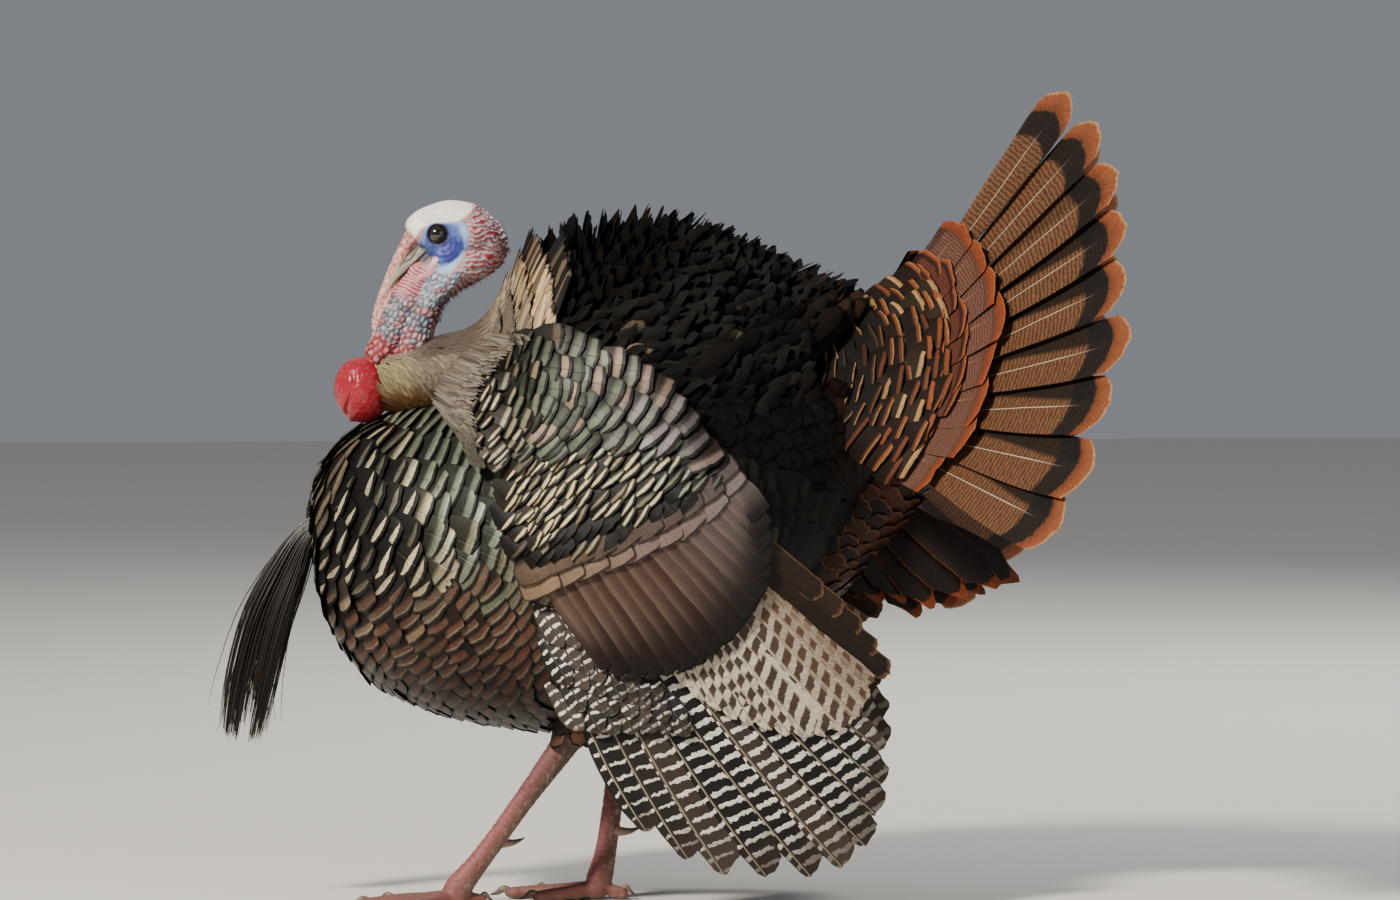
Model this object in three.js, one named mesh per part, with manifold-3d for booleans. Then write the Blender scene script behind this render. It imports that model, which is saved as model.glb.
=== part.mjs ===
// A strutting male wild turkey, life size, as still solids. Millimetres, +Z up.
// The bird faces -X with its left side towards -Y. It is drawn with x = 0 midway along the stance and the floor
// at z = 0, and the whole group is then moved so that its box stands centred on the origin.
import * as THREE from "three";
import { mergeVertices } from "three/addons/utils/BufferGeometryUtils.js";
import Module from "manifold-3d";

const wasm = await Module();
wasm.setup();

// ---------------------------------------------------------------- driving dimensions
const GAP = 0.3; // clearance left between touching pieces
const SMALLEST_FACET = 0.08; // slivers thinner than this are merged into their neighbours
const LEFT = -1; // side of the body, as the sign of y
const RIGHT = 1;

const TRUNK_LENGTH = 606; // breast to the end of the rump, over the feathers
const BREAST_FRONT_X = -299;
const TRUNK_HALF_WIDTH = 198;
const BREAST_CLEFT = { depth: 18, halfWidth: 30, reach: 90 }; // the parting that the beard grows from

const EYE_RADIUS = 10.5;
const EYE_CENTRE = { x: -163, y: 12.6, z: 669 };
const BILL_LENGTH = 62;

const MIDDLE_TOE = 92; // without its claw
const FOOT_LEFT = { x: -148, y: -62, yaw: 5 };
const FOOT_RIGHT = { x: -3, y: 18, yaw: -6 };

const TAIL_ROOT = new THREE.Vector3(240, 0, 483); // where the shafts of the fan meet
const TAIL_FEATHER = 390; // longest tail feather, from the root
const TAIL_PITCH = 57.5; // of the middle pair above the floor, in degrees
const TAIL_FEATHERS_A_SIDE = 9;
const FAN_SPREAD = { left: 89, right: 122 }; // from the middle pair to the edge of each side, in degrees
const FAN_OPEN = { left: 0.84, right: 0.73 }; // how squarely each side faces the tail's end, 1 being flat
const FAN_SWEEP = { left: 0, right: 35 }; // how far the outer feathers bend back

const WING_TIP_Z = 42;

const radians = THREE.MathUtils.degToRad;
const clamp = THREE.MathUtils.clamp;
const point = (x, y, z) => new THREE.Vector3(x, y, z);

// ---------------------------------------------------------------- shape helpers

// A smooth function through [at, value] pairs, flat past both ends.
function profile(...pairs) {
  const slope = pairs.map((_, i) => {
    const a = pairs[Math.max(i - 1, 0)];
    const b = pairs[Math.min(i + 1, pairs.length - 1)];
    return (b[1] - a[1]) / (b[0] - a[0]);
  });
  return (at) => {
    if (at <= pairs[0][0]) return pairs[0][1];
    if (at >= pairs.at(-1)[0]) return pairs.at(-1)[1];
    const i = pairs.findIndex((pair) => pair[0] > at) - 1;
    const [x0, v0] = pairs[i];
    const [x1, v1] = pairs[i + 1];
    const span = x1 - x0;
    const t = (at - x0) / span;
    const rise = t * t * (3 - 2 * t);
    return (
      v0 + (v1 - v0) * rise +
      span * (slope[i] * t * (1 - t) * (1 - t) - slope[i + 1] * t * t * (1 - t))
    );
  };
}

// A geometry from points and triangles, with its faces turned to point out.
function facingOut(points, triangles) {
  let volume = 0;
  for (const [a, b, c] of triangles)
    volume += points[a].dot(points[b].clone().cross(points[c]));
  const corners = triangles.flatMap(([a, b, c]) => (volume > 0 ? [a, b, c] : [a, c, b]));
  return new THREE.BufferGeometry().setFromPoints(points).setIndex(corners);
}

// A closed surface over rings of points that all have the same count, capped at both ends.
function skinOver(rings) {
  const count = rings[0].length;
  const points = rings.flat();
  const triangles = [];
  for (let r = 0; r + 1 < rings.length; r++)
    for (let i = 0; i < count; i++) {
      const next = (i + 1) % count;
      const [a, b] = [r * count + i, r * count + next];
      triangles.push([a, b, a + count], [b, b + count, a + count]);
    }
  for (const r of [0, rings.length - 1]) {
    const middle = rings[r].reduce((sum, p) => sum.add(p), point(0, 0, 0));
    points.push(middle.divideScalar(count));
    for (let i = 0; i < count; i++) {
      const edge = [r * count + i, r * count + ((i + 1) % count)];
      if (r === 0) edge.reverse();
      triangles.push([...edge, points.length - 1]);
    }
  }
  return facingOut(points, triangles);
}

// An oval tube along a curve. Each stop is [x, y, z, half height, half width], and width runs along y.
function tube(stops, { sides = 12, steps = 10, grow = 0, up = point(0, 0, 1) } = {}) {
  const path = new THREE.CatmullRomCurve3(stops.map(([x, y, z]) => point(x, y, z)), false, "centripetal");
  const along = stops.map((_, i) => i / (stops.length - 1));
  const high = profile(...stops.map((s, i) => [along[i], s[3]]));
  const wide = profile(...stops.map((s, i) => [along[i], s[4]]));
  const rings = [];
  for (let k = 0; k <= steps; k++) {
    const t = k / steps;
    const middle = path.getPoint(t);
    const ahead = path.getTangent(t);
    const side = up.clone().cross(ahead).normalize();
    const top = ahead.clone().cross(side);
    rings.push(
      Array.from({ length: sides }, (_, i) => {
        const turn = ((i + 0.5) / sides) * 2 * Math.PI;
        return middle.clone()
          .addScaledVector(top, Math.cos(turn) * (high(t) + grow))
          .addScaledVector(side, Math.sin(turn) * (wide(t) + grow));
      }),
    );
  }
  return skinOver(rings);
}

// An egg-shaped ball, turned about y by a pitch in degrees.
function ball({ x, y, z, long, wide, high, pitch = 0, detail = 12 }, grow = 0) {
  const shape = new THREE.SphereGeometry(1, detail * 2, detail);
  shape.scale(long + grow, wide + grow, high + grow);
  shape.rotateY(radians(pitch));
  return shape.translate(x, y, z);
}

// A curved shell over a grid of middle points, row by row, with a thickness for each point.
function shell(rows, thickness) {
  const columns = rows[0].length;
  const normalAt = (r, c) => {
    const along = rows[Math.min(r + 1, rows.length - 1)][c].clone().sub(rows[Math.max(r - 1, 0)][c]);
    const across = rows[r][Math.min(c + 1, columns - 1)].clone().sub(rows[r][Math.max(c - 1, 0)]);
    return along.cross(across).normalize();
  };
  const rings = rows.map((row, r) => {
    const half = row.map((_, c) => thickness(r / (rows.length - 1), c / (columns - 1)) / 2);
    const front = row.map((p, c) => p.clone().addScaledVector(normalAt(r, c), half[c]));
    const back = row.map((p, c) => p.clone().addScaledVector(normalAt(r, c), -half[c]));
    return [...front, ...back.reverse()];
  });
  const points = rings.flat();
  const count = columns * 2;
  const triangles = [];
  for (let r = 0; r + 1 < rings.length; r++)
    for (let i = 0; i < count; i++) {
      const next = (i + 1) % count;
      const [a, b] = [r * count + i, r * count + next];
      triangles.push([a, b, a + count], [b, b + count, a + count]);
    }
  for (const r of [0, rings.length - 1])
    for (let c = 0; c + 1 < columns; c++) {
      const [a, b] = [r * count + c, r * count + c + 1];
      const [d, e] = [r * count + count - 1 - c, r * count + count - 2 - c];
      triangles.push(...(r === 0 ? [[a, d, b], [b, d, e]] : [[a, b, d], [b, e, d]]));
    }
  return facingOut(points, triangles);
}

// ---------------------------------------------------------------- solids

function solid(shape) {
  const bare = shape.clone();
  for (const name of ["normal", "uv"]) bare.deleteAttribute(name);
  const merged = mergeVertices(bare, 1e-4);
  return new wasm.Manifold(
    new wasm.Mesh({
      numProp: 3,
      vertProperties: new Float32Array(merged.attributes.position.array),
      triVerts: new Uint32Array(merged.index.array),
    }),
  );
}

// The largest body of a solid, so that a cut leaves no crumbs.
function whole(cut) {
  return cut.decompose().sort((a, b) => b.volume() - a.volume())[0];
}

const joined = (...parts) => parts.reduce((sum, part) => sum.add(part));
const without = (part, ...cutters) => whole(cutters.reduce((left, cutter) => left.subtract(cutter), part));

const FAR = 2000;

// Everything on the side of a plane that its normal points to, past a small clearance.
function beyond(normal, at, clearance = GAP / 2) {
  const block = new THREE.BoxGeometry(FAR, FAR, FAR).translate(0, 0, FAR / 2 + clearance);
  block.applyQuaternion(new THREE.Quaternion().setFromUnitVectors(point(0, 0, 1), normal.clone().normalize()));
  return solid(block.translate(at.x, at.y, at.z));
}

const aboveFloor = beyond(point(0, 0, 1), point(0, 0, 0), 0);

const bird = new THREE.Group();

function show(name, cut, colour, roughness = 0.8, metalness = 0) {
  const mesh = cut.simplify(SMALLEST_FACET).getMesh();
  const positions = new Float32Array(mesh.numVert * 3);
  for (let i = 0; i < mesh.numVert; i++)
    positions.set(mesh.vertProperties.subarray(i * mesh.numProp, i * mesh.numProp + 3), i * 3);
  const shape = new THREE.BufferGeometry();
  shape.setAttribute("position", new THREE.BufferAttribute(positions, 3));
  shape.setIndex(new THREE.BufferAttribute(new Uint32Array(mesh.triVerts), 1));
  shape.computeVertexNormals();
  const node = new THREE.Mesh(shape, new THREE.MeshStandardMaterial({ color: colour, roughness, metalness }));
  node.name = name;
  bird.add(node);
}

// ---------------------------------------------------------------- trunk

const TRUNK_END_X = BREAST_FRONT_X + TRUNK_LENGTH;
const backLine = profile(
  [-297, 384], [-293, 413], [-282, 443], [-265, 464], [-245, 478], [-205, 492], [-150, 520],
  [-115, 580], [-92, 640], [-70, 670], [-40, 687], [0, 696], [50, 700], [100, 693], [140, 677],
  [190, 652], [240, 634], [280, 612], [307, 560],
);
const bellyLine = profile(
  [-297, 384], [-294, 343], [-287, 303], [-274, 268], [-254, 240], [-220, 213], [-170, 191],
  [-130, 181], [-90, 174], [-50, 170], [-10, 170], [40, 180], [90, 202], [140, 242], [190, 298],
  [240, 362], [285, 430], [307, 520],
);
const halfWidth = profile(
  [-297, 20], [-288, 62], [-270, 98], [-240, 130], [-200, 156], [-150, 176], [-100, 189],
  [-40, TRUNK_HALF_WIDTH], [20, TRUNK_HALF_WIDTH], [80, 190], [140, 168], [200, 138], [250, 108],
  [285, 78], [307, 30],
);
const widestLine = profile([-297, 384], [-200, 352], [-100, 350], [0, 360], [100, 385], [200, 440], [307, 530]);

// The trunk's half width at a height, over the feathers.
function sideAt(x, z) {
  const middle = widestLine(x);
  const reach = z > middle ? backLine(x) - middle : middle - bellyLine(x);
  const share = clamp((z - middle) / Math.max(reach, 1), -1, 1);
  return halfWidth(x) * Math.sqrt(1 - share * share);
}

function trunk(grow = 0) {
  const sides = 20;
  const stations = 16;
  const rings = [];
  for (let k = 0; k <= stations; k++) {
    // stations crowd towards both rounded ends
    const t = (1 - Math.cos((Math.PI * k) / stations)) / 2;
    const x = BREAST_FRONT_X + TRUNK_LENGTH * (0.55 * t + 0.45 * (k / stations));
    const middle = widestLine(x);
    const top = backLine(x) - middle;
    const bottom = middle - bellyLine(x);
    rings.push(
      Array.from({ length: sides }, (_, i) => {
        const turn = (i / sides) * 2 * Math.PI;
        const y = Math.cos(turn) * (halfWidth(x) + grow);
        const high = Math.sin(turn) * ((Math.sin(turn) > 0 ? top : bottom) + grow);
        const nearFront = clamp(1 - (x - BREAST_FRONT_X) / BREAST_CLEFT.reach, 0, 1);
        const cleft = BREAST_CLEFT.depth * nearFront * Math.exp(-((y / BREAST_CLEFT.halfWidth) ** 2));
        return point(x + cleft - (k === 0 ? grow : 0) + (k === stations ? grow : 0), y, middle + high);
      }),
    );
  }
  return solid(skinOver(rings));
}

const wholeTrunk = trunk();
const roomForTrunk = trunk(GAP);

const rumpCut = point(112, 0, 400);
const breastCut = point(-52, 0, 300);
const backCut = point(-130, 0, 508); // the back lies above a plane that falls towards the tail
const backUp = point(0.28, 0, 1);
const ahead = point(-1, 0, 0);
const behind = point(1, 0, 0);

const front = wholeTrunk.intersect(beyond(ahead, rumpCut));
const lower = front.intersect(beyond(backUp.clone().negate(), backCut));
show("rump", whole(wholeTrunk.intersect(beyond(behind, rumpCut))), "#4a2f1f");
show("back", whole(front.intersect(beyond(backUp, backCut))), "#15100d");
show("breast", whole(lower.intersect(beyond(ahead, breastCut))), "#6d6a5a");
show("belly", whole(lower.intersect(beyond(behind, breastCut))), "#3b2a22");

// ---------------------------------------------------------------- head and neck

const skullStops = [
  [-186, 0, 667, 15, 14], [-172, 0, 671, 25, 19], [-152, 0, 670, 33, 22], [-132, 0, 662, 34, 23], [-116, 0, 652, 26, 19],
];
const napeStops = [
  [-150, 0, 664, 30, 19], [-128, 0, 667, 34, 25], [-117, 0, 652, 28, 27], [-126, 0, 630, 27, 26],
  [-148, 0, 607, 25, 24], [-170, 0, 586, 24, 23], [-186, 0, 566, 23, 22], [-192, 0, 545, 22, 20],
];
const throatStops = [
  [-182, 0, 628, 13, 13], [-192, 0, 606, 17, 17], [-203, 0, 582, 19, 19], [-213, 0, 560, 17, 19], [-224, 0, 540, 14, 18],
];
const snoodStops = [
  [-176, 0, 682, 4, 6], [-190, 0, 664, 7, 7], [-203, 0, 638, 7, 7], [-215, 0, 610, 6, 7], [-223, 0, 584, 6, 7],
  [-225, 0, 562, 4, 4],
];
const neckStops = [
  [-216, 0, 526, 22, 20], [-206, 0, 526, 31, 32], [-184, 0, 530, 40, 44], [-150, 0, 536, 45, 58], [-112, 0, 554, 50, 74],
  [-66, 0, 574, 46, 80],
];
const wattle = (grow) => solid(ball({ x: -238, y: 0, z: 514, long: 27, wide: 31, high: 33, pitch: -12, detail: 6 }, grow));

const skull = (grow) => solid(tube(skullStops, { sides: 12, steps: 7, grow }));
const nape = (grow) => solid(tube(napeStops, { sides: 10, steps: 7, grow, up: point(0, 1, 0) }));
const throat = (grow) => solid(tube(throatStops, { sides: 7, steps: 4, grow }));
const eye = (side, grow) =>
  solid(ball({ ...EYE_CENTRE, y: side * EYE_CENTRE.y, long: EYE_RADIUS, wide: EYE_RADIUS, high: EYE_RADIUS, detail: 5 }, grow));

// The bill lies along a line from the face to its tip. The upper half closes over the lower one.
const BILL_BASE = point(-176, 0, 651);
const BILL_FALL = 44; // below level, in degrees
function bill(share, drop, high, wide, grow) {
  const fall = radians(BILL_FALL);
  const stops = [0, 0.35, 0.7, 0.92, 1].map((t) => {
    const hook = share === 1 ? 5 * t * t : 0;
    const along = BILL_LENGTH * share * t;
    const thin = Math.sqrt(1 - 0.92 * t * t);
    return [
      BILL_BASE.x - along * Math.cos(fall) + drop * Math.sin(fall) - hook * 0.2,
      0,
      BILL_BASE.z - along * Math.sin(fall) - drop * Math.cos(fall) - hook,
      high * thin,
      wide * thin,
    ];
  });
  return solid(tube(stops, { sides: 8, steps: 5, grow }));
}
const upperBill = (grow) => bill(1, 0, 9, 9, grow);
const lowerBill = (grow) => bill(0.86, 11, 6, 7.5, grow);

show("bill_upper", without(upperBill(0), skull(GAP)), "#8d7a62", 0.45);
show("bill_lower", without(lowerBill(0), skull(GAP), upperBill(GAP)), "#7a6a55", 0.45);
for (const [side, name] of [[LEFT, "left"], [RIGHT, "right"]])
  show(`eye_${name}`, eye(side, 0), "#1a0f0a", 0.1);
show("head", without(skull(0), eye(LEFT, GAP), eye(RIGHT, GAP)), "#d8dcd2", 0.55);
const headRoom = joined(skull(GAP), eye(LEFT, GAP), eye(RIGHT, GAP), upperBill(GAP), lowerBill(GAP));
show("bare_neck", without(nape(0), headRoom, roomForTrunk, beyond(point(-0.7, 0, -1), point(-196, 0, 552))), "#b04a4c", 0.6);
show("dewlap", without(throat(0), headRoom, nape(GAP)), "#b86a66", 0.6);
const snood = (grow) => solid(tube(snoodStops, { sides: 6, steps: 6, grow }));
show("snood", without(snood(0), headRoom, throat(GAP)), "#d79a8d", 0.6);
const skinRoom = joined(nape(GAP), throat(GAP), snood(GAP));
show("wattle", without(wattle(0), skinRoom, roomForTrunk), "#c2273a", 0.45);
show("neck", without(solid(tube(neckStops, { sides: 12, steps: 6 })), roomForTrunk, skinRoom, wattle(GAP), headRoom), "#8b7b66");

// ---------------------------------------------------------------- beard

const beardStops = [
  [-276, 0, 388, 6, 7], [-296, 0, 366, 13, 9], [-313, 0, 332, 22, 11], [-333, 0, 284, 27, 13], [-348, 0, 226, 27, 13],
  [-356, 0, 182, 23, 11], [-359, 0, 164, 17, 7],
];
show("beard", without(solid(tube(beardStops, { sides: 8, steps: 6 })), roomForTrunk), "#16130f", 0.7);

// ---------------------------------------------------------------- wings

// The face of a folded wing: it hugs the trunk's side, then hangs down past the belly as a skirt.
function wingSide(x, z) {
  const along = 205 - (x < 10 ? 0.0011 : 0.0006) * (x - 10) ** 2;
  const middle = widestLine(x);
  const reach = Math.max(backLine(x) - middle, 250) + 12;
  const overShoulder = Math.sqrt(1 - clamp((z - middle) / reach, 0, 0.95) ** 2);
  return along * overShoulder + 0.07 * Math.max(0, 300 - z);
}

// A row of feathers between a line of roots and a line of tips, both given as [x, z] points from front to back.
function featherRow(
  { roots, tips, lift, thick, feathers, notch, rows = 3, perFeather = 2, tipThick = 2.2, swing = 0, grow = 0, tuck = 0 },
  side,
) {
  const rootLine = new THREE.SplineCurve(roots.map(([x, z]) => new THREE.Vector2(x, z)));
  const tipLine = new THREE.SplineCurve(tips.map(([x, z]) => new THREE.Vector2(x, z)));
  const columns = feathers * perFeather;
  const pivot = new THREE.Vector2(...roots[0]);
  const grid = [];
  for (let r = 0; r <= rows; r++) {
    const t = r / rows;
    const row = [];
    for (let c = 0; c <= columns; c++) {
      const s = c / columns;
      const withinFeather = (c % perFeather) / perFeather;
      const inset = c === columns ? 0 : notch * 4 * (withinFeather - 0.5) ** 2;
      const root = rootLine.getPoint(s);
      const tip = tipLine.getPoint(s);
      const length = tip.distanceTo(root);
      const at = root.clone().lerp(tip, t * (1 - inset / length)).rotateAround(pivot, radians(swing));
      const step = 1.2 * (1 - withinFeather) * t - tuck * (1 - t) ** 2;
      row.push(point(at.x, side * (wingSide(at.x, at.y) + lift + step), Math.max(at.y, 1)));
    }
    grid.push(row);
  }
  return solid(shell(grid, (t) => thick * (1 - t) + tipThick * t + 2 * grow));
}

const shoulderRow = {
  roots: [[-158, 500], [-125, 540], [-70, 566], [0, 560], [60, 530]],
  tips: [[-118, 440], [-40, 462], [30, 468], [90, 448], [128, 420]],
  lift: 14, thick: 6, feathers: 7, notch: 5, tuck: 30,
};
const covertRow = {
  roots: [[-120, 446], [-70, 468], [-10, 476], [60, 468], [92, 452]],
  tips: [[-66, 345], [-30, 282], [14, 250], [78, 266], [122, 304], [138, 352], [134, 396]],
  lift: 6.5, thick: 6, feathers: 9, notch: 4,
};
const secondaryRow = {
  roots: [[-40, 350], [0, 400], [60, 440], [100, 450], [122, 440]],
  tips: [[60, 236], [110, 204], [160, 184], [205, 178], [248, 192], [268, 232], [262, 290], [232, 350]],
  lift: -1, thick: 6, feathers: 10, notch: 4,
};
const primaryRow = {
  roots: [[-60, 330], [-40, 352], [-10, 376], [20, 398], [52, 420]],
  tips: [
    [-34, 168], [-18, 118], [22, 68], [62, 48], [110, WING_TIP_Z + 4], [160, WING_TIP_Z], [214, 48], [250, 78],
    [272, 126], [278, 186],
  ],
  lift: -8.5, thick: 6, feathers: 11, notch: 10,
};
const wings = { shoulder: shoulderRow, coverts: covertRow, secondaries: secondaryRow, primaries: primaryRow };
const wingColours = { shoulder: "#7d7466", coverts: "#6b5445", secondaries: "#b3a48d", primaries: "#4b443d" };
const FAR_WING_SWING = 5; // the right wing hangs a little further back

// ---------------------------------------------------------------- legs

// A leg from knee to foot. The hock is the backward-pointing joint above the shank.
function leg(foot, hock, knee, name, side) {
  const heel = [foot.x + 6, foot.y, 22];
  const shankStops = [
    [hock.x + 4, hock.y, hock.z + 12, 15, 11], [hock.x, hock.y, hock.z, 14, 11],
    [hock.x * 0.6 + heel[0] * 0.4, hock.y * 0.6 + foot.y * 0.4, hock.z * 0.6 + heel[2] * 0.4, 10.5, 8],
    [hock.x * 0.2 + heel[0] * 0.8, hock.y * 0.2 + foot.y * 0.8, hock.z * 0.2 + heel[2] * 0.8, 10.5, 8.5],
    [foot.x + 3, foot.y, 21, 13, 12], [foot.x - 2, foot.y, 12, 11, 12],
  ];
  const thighStops = [
    [knee.x, knee.y, knee.z, 78, 62], [(knee.x + hock.x) / 2, (knee.y + hock.y) / 2, (knee.z + hock.z) / 2, 52, 45],
    [hock.x + 6, hock.y, hock.z + 12, 28, 24], [hock.x + 1, hock.y, hock.z - 12, 17, 15],
  ];
  const shank = (grow) => solid(tube(shankStops, { sides: 7, steps: 5, grow, up: point(1, 0, 0.2) }));

  // toes as [name, length, angle out from straight ahead, root radius]
  const toes = [["inner", 0.74, -34 * side, 7.5], ["middle", 1, 0, 8.5], ["outer", 0.8, 32 * side, 7.5], ["hind", 0.34, 172 * side, 6]];
  const toe = ([toeName, share, angle, radius], grow) => {
    const out = radians(180 + foot.yaw + angle);
    const direction = point(Math.cos(out), Math.sin(out), 0);
    const length = MIDDLE_TOE * share;
    const rise = toeName === "hind" ? 11 : 9;
    const at = (along, z) => point(foot.x, foot.y, z).addScaledVector(direction, along);
    const stops = [[0, rise + 2, radius], [length * 0.35, radius - 0.6, radius], [length * 0.7, radius - 1.6, radius * 0.86], [length, radius - 2.6, radius * 0.66]];
    return solid(
      tube(stops.map(([along, z, r]) => [...at(along, z).toArray(), r, r]), { sides: 6, steps: 3, grow }),
    );
  };
  const claw = ([toeName, share, angle, radius], grow) => {
    const out = radians(180 + foot.yaw + angle);
    const direction = point(Math.cos(out), Math.sin(out), 0);
    const start = MIDDLE_TOE * share - 4;
    const long = toeName === "hind" ? 13 : 19;
    const stops = [[0, radius * 0.62, radius * 0.6], [0.4, radius * 0.72, radius * 0.5], [0.8, radius * 0.4, radius * 0.28], [1, 1.2, 1]];
    return solid(
      tube(
        stops.map(([t, z, r]) => [...point(foot.x, foot.y, z).addScaledVector(direction, start + long * t).toArray(), r, r * 0.8]),
        { sides: 5, steps: 3, grow },
      ),
    );
  };
  const pad = (grow) => solid(ball({ x: foot.x - 2, y: foot.y, z: 9, long: 16, wide: 15, high: 11, detail: 5 }, grow));

  const footSolid = whole(joined(pad(0), ...toes.map((t) => toe(t, 0))).intersect(aboveFloor));
  const footRoom = joined(pad(GAP), ...toes.map((t) => toe(t, GAP)));
  show(`foot_${name}`, footSolid, "#a8776b", 0.6);
  for (const t of toes)
    show(`claw_${name}_${t[0]}`, without(claw(t, 0).intersect(aboveFloor), footRoom), "#3a2f2a", 0.4);
  const thigh = (grow) => solid(tube(thighStops, { sides: 8, steps: 4, grow, up: point(1, 0, 0.2) }));
  show(`thigh_${name}`, without(thigh(0), roomForTrunk), "#3a2d27");
  show(`shank_${name}`, without(shank(0), footRoom, thigh(GAP), roomForTrunk), "#a46a62", 0.6);

  // The spur grows from the inner back of the shank and points back and a little up.
  const spurRoot = point(hock.x * 0.3 + heel[0] * 0.7 + 6, foot.y - side * 5, hock.z * 0.3 + heel[2] * 0.7);
  const spurStops = [[0, 0, 6.5], [9, -0.5, 5], [18, 0.5, 2.8], [25, 3, 0.9]];
  const spur = solid(
    tube(spurStops.map(([along, z, r]) => [spurRoot.x + along, spurRoot.y - side * along * 0.15, spurRoot.z + z, r, r * 0.9]), { sides: 6, steps: 4 }),
  );
  show(`spur_${name}`, without(spur, shank(GAP)), "#6b5347", 0.4);
  return joined(thigh(GAP), shank(GAP));
}

const leftHock = point(-38, -72, 166);
const rightHock = point(27, 44, 178);
const leftLeg = leg(FOOT_LEFT, leftHock, point(8, -92, 268), "left", LEFT);
const rightLeg = leg(FOOT_RIGHT, rightHock, point(62, 78, 282), "right", RIGHT);

for (const [side, sideName] of [[LEFT, "left"], [RIGHT, "right"]]) {
  const legRoom = side === LEFT ? leftLeg : rightLeg;
  const swing = side === RIGHT ? FAR_WING_SWING : 0;
  let outer = joined(roomForTrunk, legRoom);
  for (const [name, row] of Object.entries(wings)) {
    const piece = featherRow({ ...row, swing }, side);
    show(`wing_${sideName}_${name}`, without(piece, outer), wingColours[name]);
    outer = joined(outer, featherRow({ ...row, swing, grow: GAP }, side));
  }
}

// ---------------------------------------------------------------- tail

const pitch = radians(TAIL_PITCH);
const middleWay = point(Math.cos(pitch), 0, Math.sin(pitch)); // along the middle pair
// at right angles to it, in the plane of one half of the fan
function sideWay(side) {
  const open = side === LEFT ? FAN_OPEN.left : FAN_OPEN.right;
  const lean = Math.sqrt(1 - open * open);
  return point(lean * Math.sin(pitch), side * open, -lean * Math.cos(pitch));
}
const dorsal = (side) => sideWay(side).cross(middleWay).multiplyScalar(-side).normalize(); // faces the head

// A half fan of overlapping feathers, from the root outwards. Each feather's far edge lies over the next one.
function halfFan({ side, feathers, spread, reach, from, lift, thick, tipThick, step, rows, sweep, sideShare = 1, grow = 0 }) {
  const perFeather = 3;
  const grid = [];
  for (let r = 0; r <= rows; r++) {
    const t = r / rows;
    const row = [];
    for (let k = 0; k < feathers; k++)
      for (let c = 0; c < perFeather; c++) {
        const across = c / (perFeather - 1); // 0 at the edge nearer the middle pair
        const angle = (k + clamp(across, 0.02, 0.98)) * (spread / feathers);
        const shorter = 1 - (1 - sideShare) * (angle / spread) ** 4;
        const roundTip = 1 - 0.045 * (2 * across - 1) ** 4;
        const radius = from + (reach * shorter * roundTip - from) * t;
        const turn = radians(angle);
        const bend = sweep * (angle / spread) ** 2;
        const height = lift + step * (across - 0.5) - bend * (radius / TAIL_FEATHER) ** 2;
        const at = TAIL_ROOT.clone()
          .addScaledVector(middleWay, radius * Math.cos(turn))
          .addScaledVector(sideWay(side), radius * Math.sin(turn))
          .addScaledVector(dorsal(side), height);
        at.y = side * Math.max(side * at.y, 0.36 * thick);
        row.push(at);
      }
    grid.push(row);
  }
  return solid(shell(grid, (t) => thick * (1 - t) + tipThick * t + 2 * grow));
}

let tailRoom = roomForTrunk;
for (const [side, name] of [[LEFT, "left"], [RIGHT, "right"]]) {
  const spread = FAN_SPREAD[name];
  const common = { side, spread, rows: 2, sweep: FAN_SWEEP[name] };
  const fan = { ...common, feathers: TAIL_FEATHERS_A_SIDE, reach: TAIL_FEATHER, from: 50, lift: 5, thick: 5, tipThick: 2.2, step: 4.5, sideShare: side === LEFT ? 1 : 0.84 };
  const coverts = { ...common, feathers: 7, reach: TAIL_FEATHER * 0.61, from: 50, lift: 18, thick: 6, tipThick: 3, step: 2.5, sideShare: 0.84 };
  show(`tail_${name}`, without(halfFan(fan), roomForTrunk), "#8a5a38");
  show(`tail_coverts_${name}`, without(halfFan(coverts), roomForTrunk), "#7d3f24");
  tailRoom = joined(tailRoom, halfFan({ ...fan, grow: 2 * GAP }), halfFan({ ...coverts, grow: 2 * GAP }));
}

// The soft feathers under the tail.
const ventStops = [[150, 0, 300, 50, 60], [200, 0, 345, 58, 66], [250, 0, 392, 54, 62], [296, 0, 432, 40, 50], [330, 0, 458, 18, 26]];
show("undertail", without(solid(tube(ventStops, { sides: 8, steps: 4 })), tailRoom), "#5a4636");

// ---------------------------------------------------------------- stand the box on the origin

const box = new THREE.Box3().setFromObject(bird);
const middle = box.getCenter(point(0, 0, 0));
bird.position.set(-middle.x, -middle.y, -box.min.z);

export default bird;
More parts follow.
